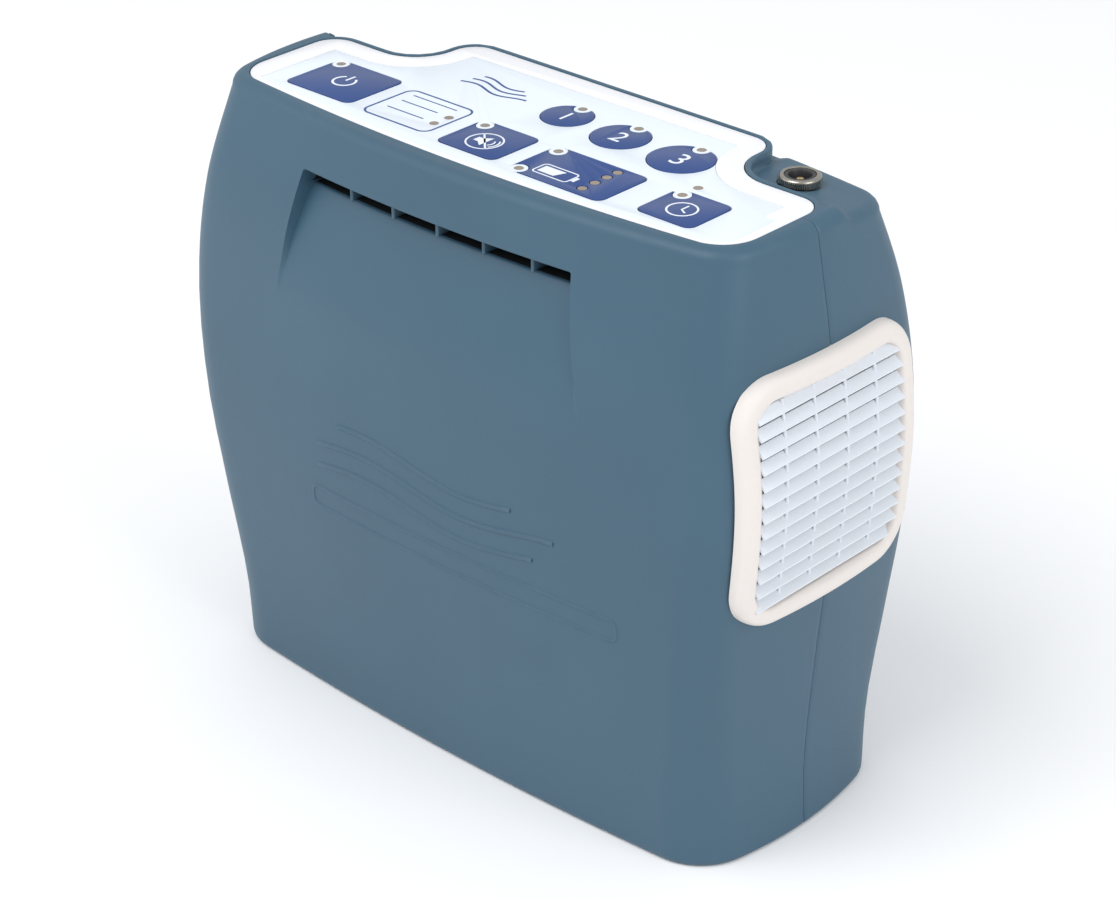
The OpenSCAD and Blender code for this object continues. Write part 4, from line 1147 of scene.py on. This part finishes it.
NUT_R, TEETH = 6.12, 60
nut = [(4.66, -3.2), (6.0, -3.2), (NUT_R, -3.1), (NUT_R, -0.75), (6.05, -0.45), (5.7, -0.08), (5.5, 0.0),
       (4.95, 0.0), (4.72, -0.12), (4.66, -0.3)]
turned("jack_nut", nut, JACK, 96, "nickel", "jack_ring_nut")
tooth_outline = [(-0.2, -0.24), (0.02, -0.22), (0.26, 0), (0.02, 0.22), (-0.2, 0.24)]
tooth = plain_object("tooth", *prism(tooth_outline, -1.25, 1.05))
around = [(x, y, 0) for x, y in round_points(0, 0, NUT_R, TEETH)]
knurl = repeat("jack_knurl", around, tooth, "nickel", follow=1.0)
knurl.data.transform(Matrix.Translation(Vector((JACK[0], JACK[1], JACK[2] - 1.8)) * MM))
socket = [(0, -11.5), (4.55, -11.5), (4.55, -0.35), (4.3, -0.2), (3.6, -0.2), (3.15, -0.9), (3.1, -9.0),
          (0, -9.0)]
turned("jack_socket", socket, JACK, 64, "black_plastic", "jack_body")
barb = [(1.2, -8), (3, -8), (3, 0), (6.8, 0), (7, 0.2), (7, 2.2), (6.7, 2.5), (2.9, 2.5), (2.6, 2.9),
        (2.6, 4), (3.2, 4.05), (3.15, 4.4), (2.6, 6.4), (3.2, 6.45), (3.15, 6.8), (2.6, 8.8), (2.6, 15.1),
        (2.3, 15.5), (1.45, 15.5), (1.2, 15.2)]
turned("oxygen_barb", barb, OUTLET, 64, "contact_brass", "outlet_barb")


def sleeve(x, z):
    """A tube round a screw, that ends inside the rounded corner of the case."""
    r, a, b = arcs(z)[:3]
    end = b + math.sqrt(r**2 - max(0, abs(x) + 5.4 - a)**2) - 1.4
    verts, faces = lathe([(3.4, 11.6), (5.4, 11.6), (5.4, end), (3.4, end)], (0, 0, 0), 32)
    return [(x + a, y, z + c) for a, c, y in verts], faces


settle(plain_object("screw_sleeves", *joined(*[sleeve(x, z) for x, z in SCREWS])), "case_plastic", "case")
print("turned parts made")

# %% [markdown]
# ## Floor and light
# The object stands on a plain pale floor in soft studio light. A large lamp in front and above
# gives the broad shine on the top, a weaker one on the right opens the side with the grille, and
# a fill from the left keeps the shadows pale.

# %% Stage
floor_mesh = bpy.data.meshes.new("floor")
floor_mesh.from_pydata([(-4, -4, 0), (4, -4, 0), (4, 4, 0), (-4, 4, 0)], [], [(0, 1, 2, 3)])
floor = bpy.data.objects.new("floor", floor_mesh)
scene.collection.objects.link(floor)
paper = bpy.data.materials.new("floor_paper")
paper.use_nodes = True
paper_shader = paper.node_tree.nodes["Principled BSDF"]
paper_shader.inputs["Base Color"].default_value = (0.97, 0.97, 0.97, 1)
paper_shader.inputs["Roughness"].default_value = 0.78
floor.data.materials.append(paper)


def area_light(name, place, size, watts):
    lamp = bpy.data.lights.new(name, "AREA")
    lamp.energy, lamp.size = watts, size
    holder = bpy.data.objects.new(name, lamp)
    holder.location = place
    holder.rotation_euler = (Vector(place) - Vector((0, 0, 0.1))).to_track_quat("Z", "Y").to_euler()
    scene.collection.objects.link(holder)


area_light("key", (-0.2, -1.1, 1.7), 1.3, 17)
area_light("side", (1.4, 0.0, 0.9), 0.9, 7)
area_light("fill", (-1.2, -1.0, 0.8), 1.2, 2.5)
world = bpy.data.worlds.new("studio")
scene.world = world
world.use_nodes = True
sky = world.node_tree.nodes["Background"]
sky.inputs["Color"].default_value = (0.93, 0.95, 0.98, 1)
sky.inputs["Strength"].default_value = 0.78
scene.view_settings.view_transform = "Standard"
print("stage: floor, three lamps and a pale sky")
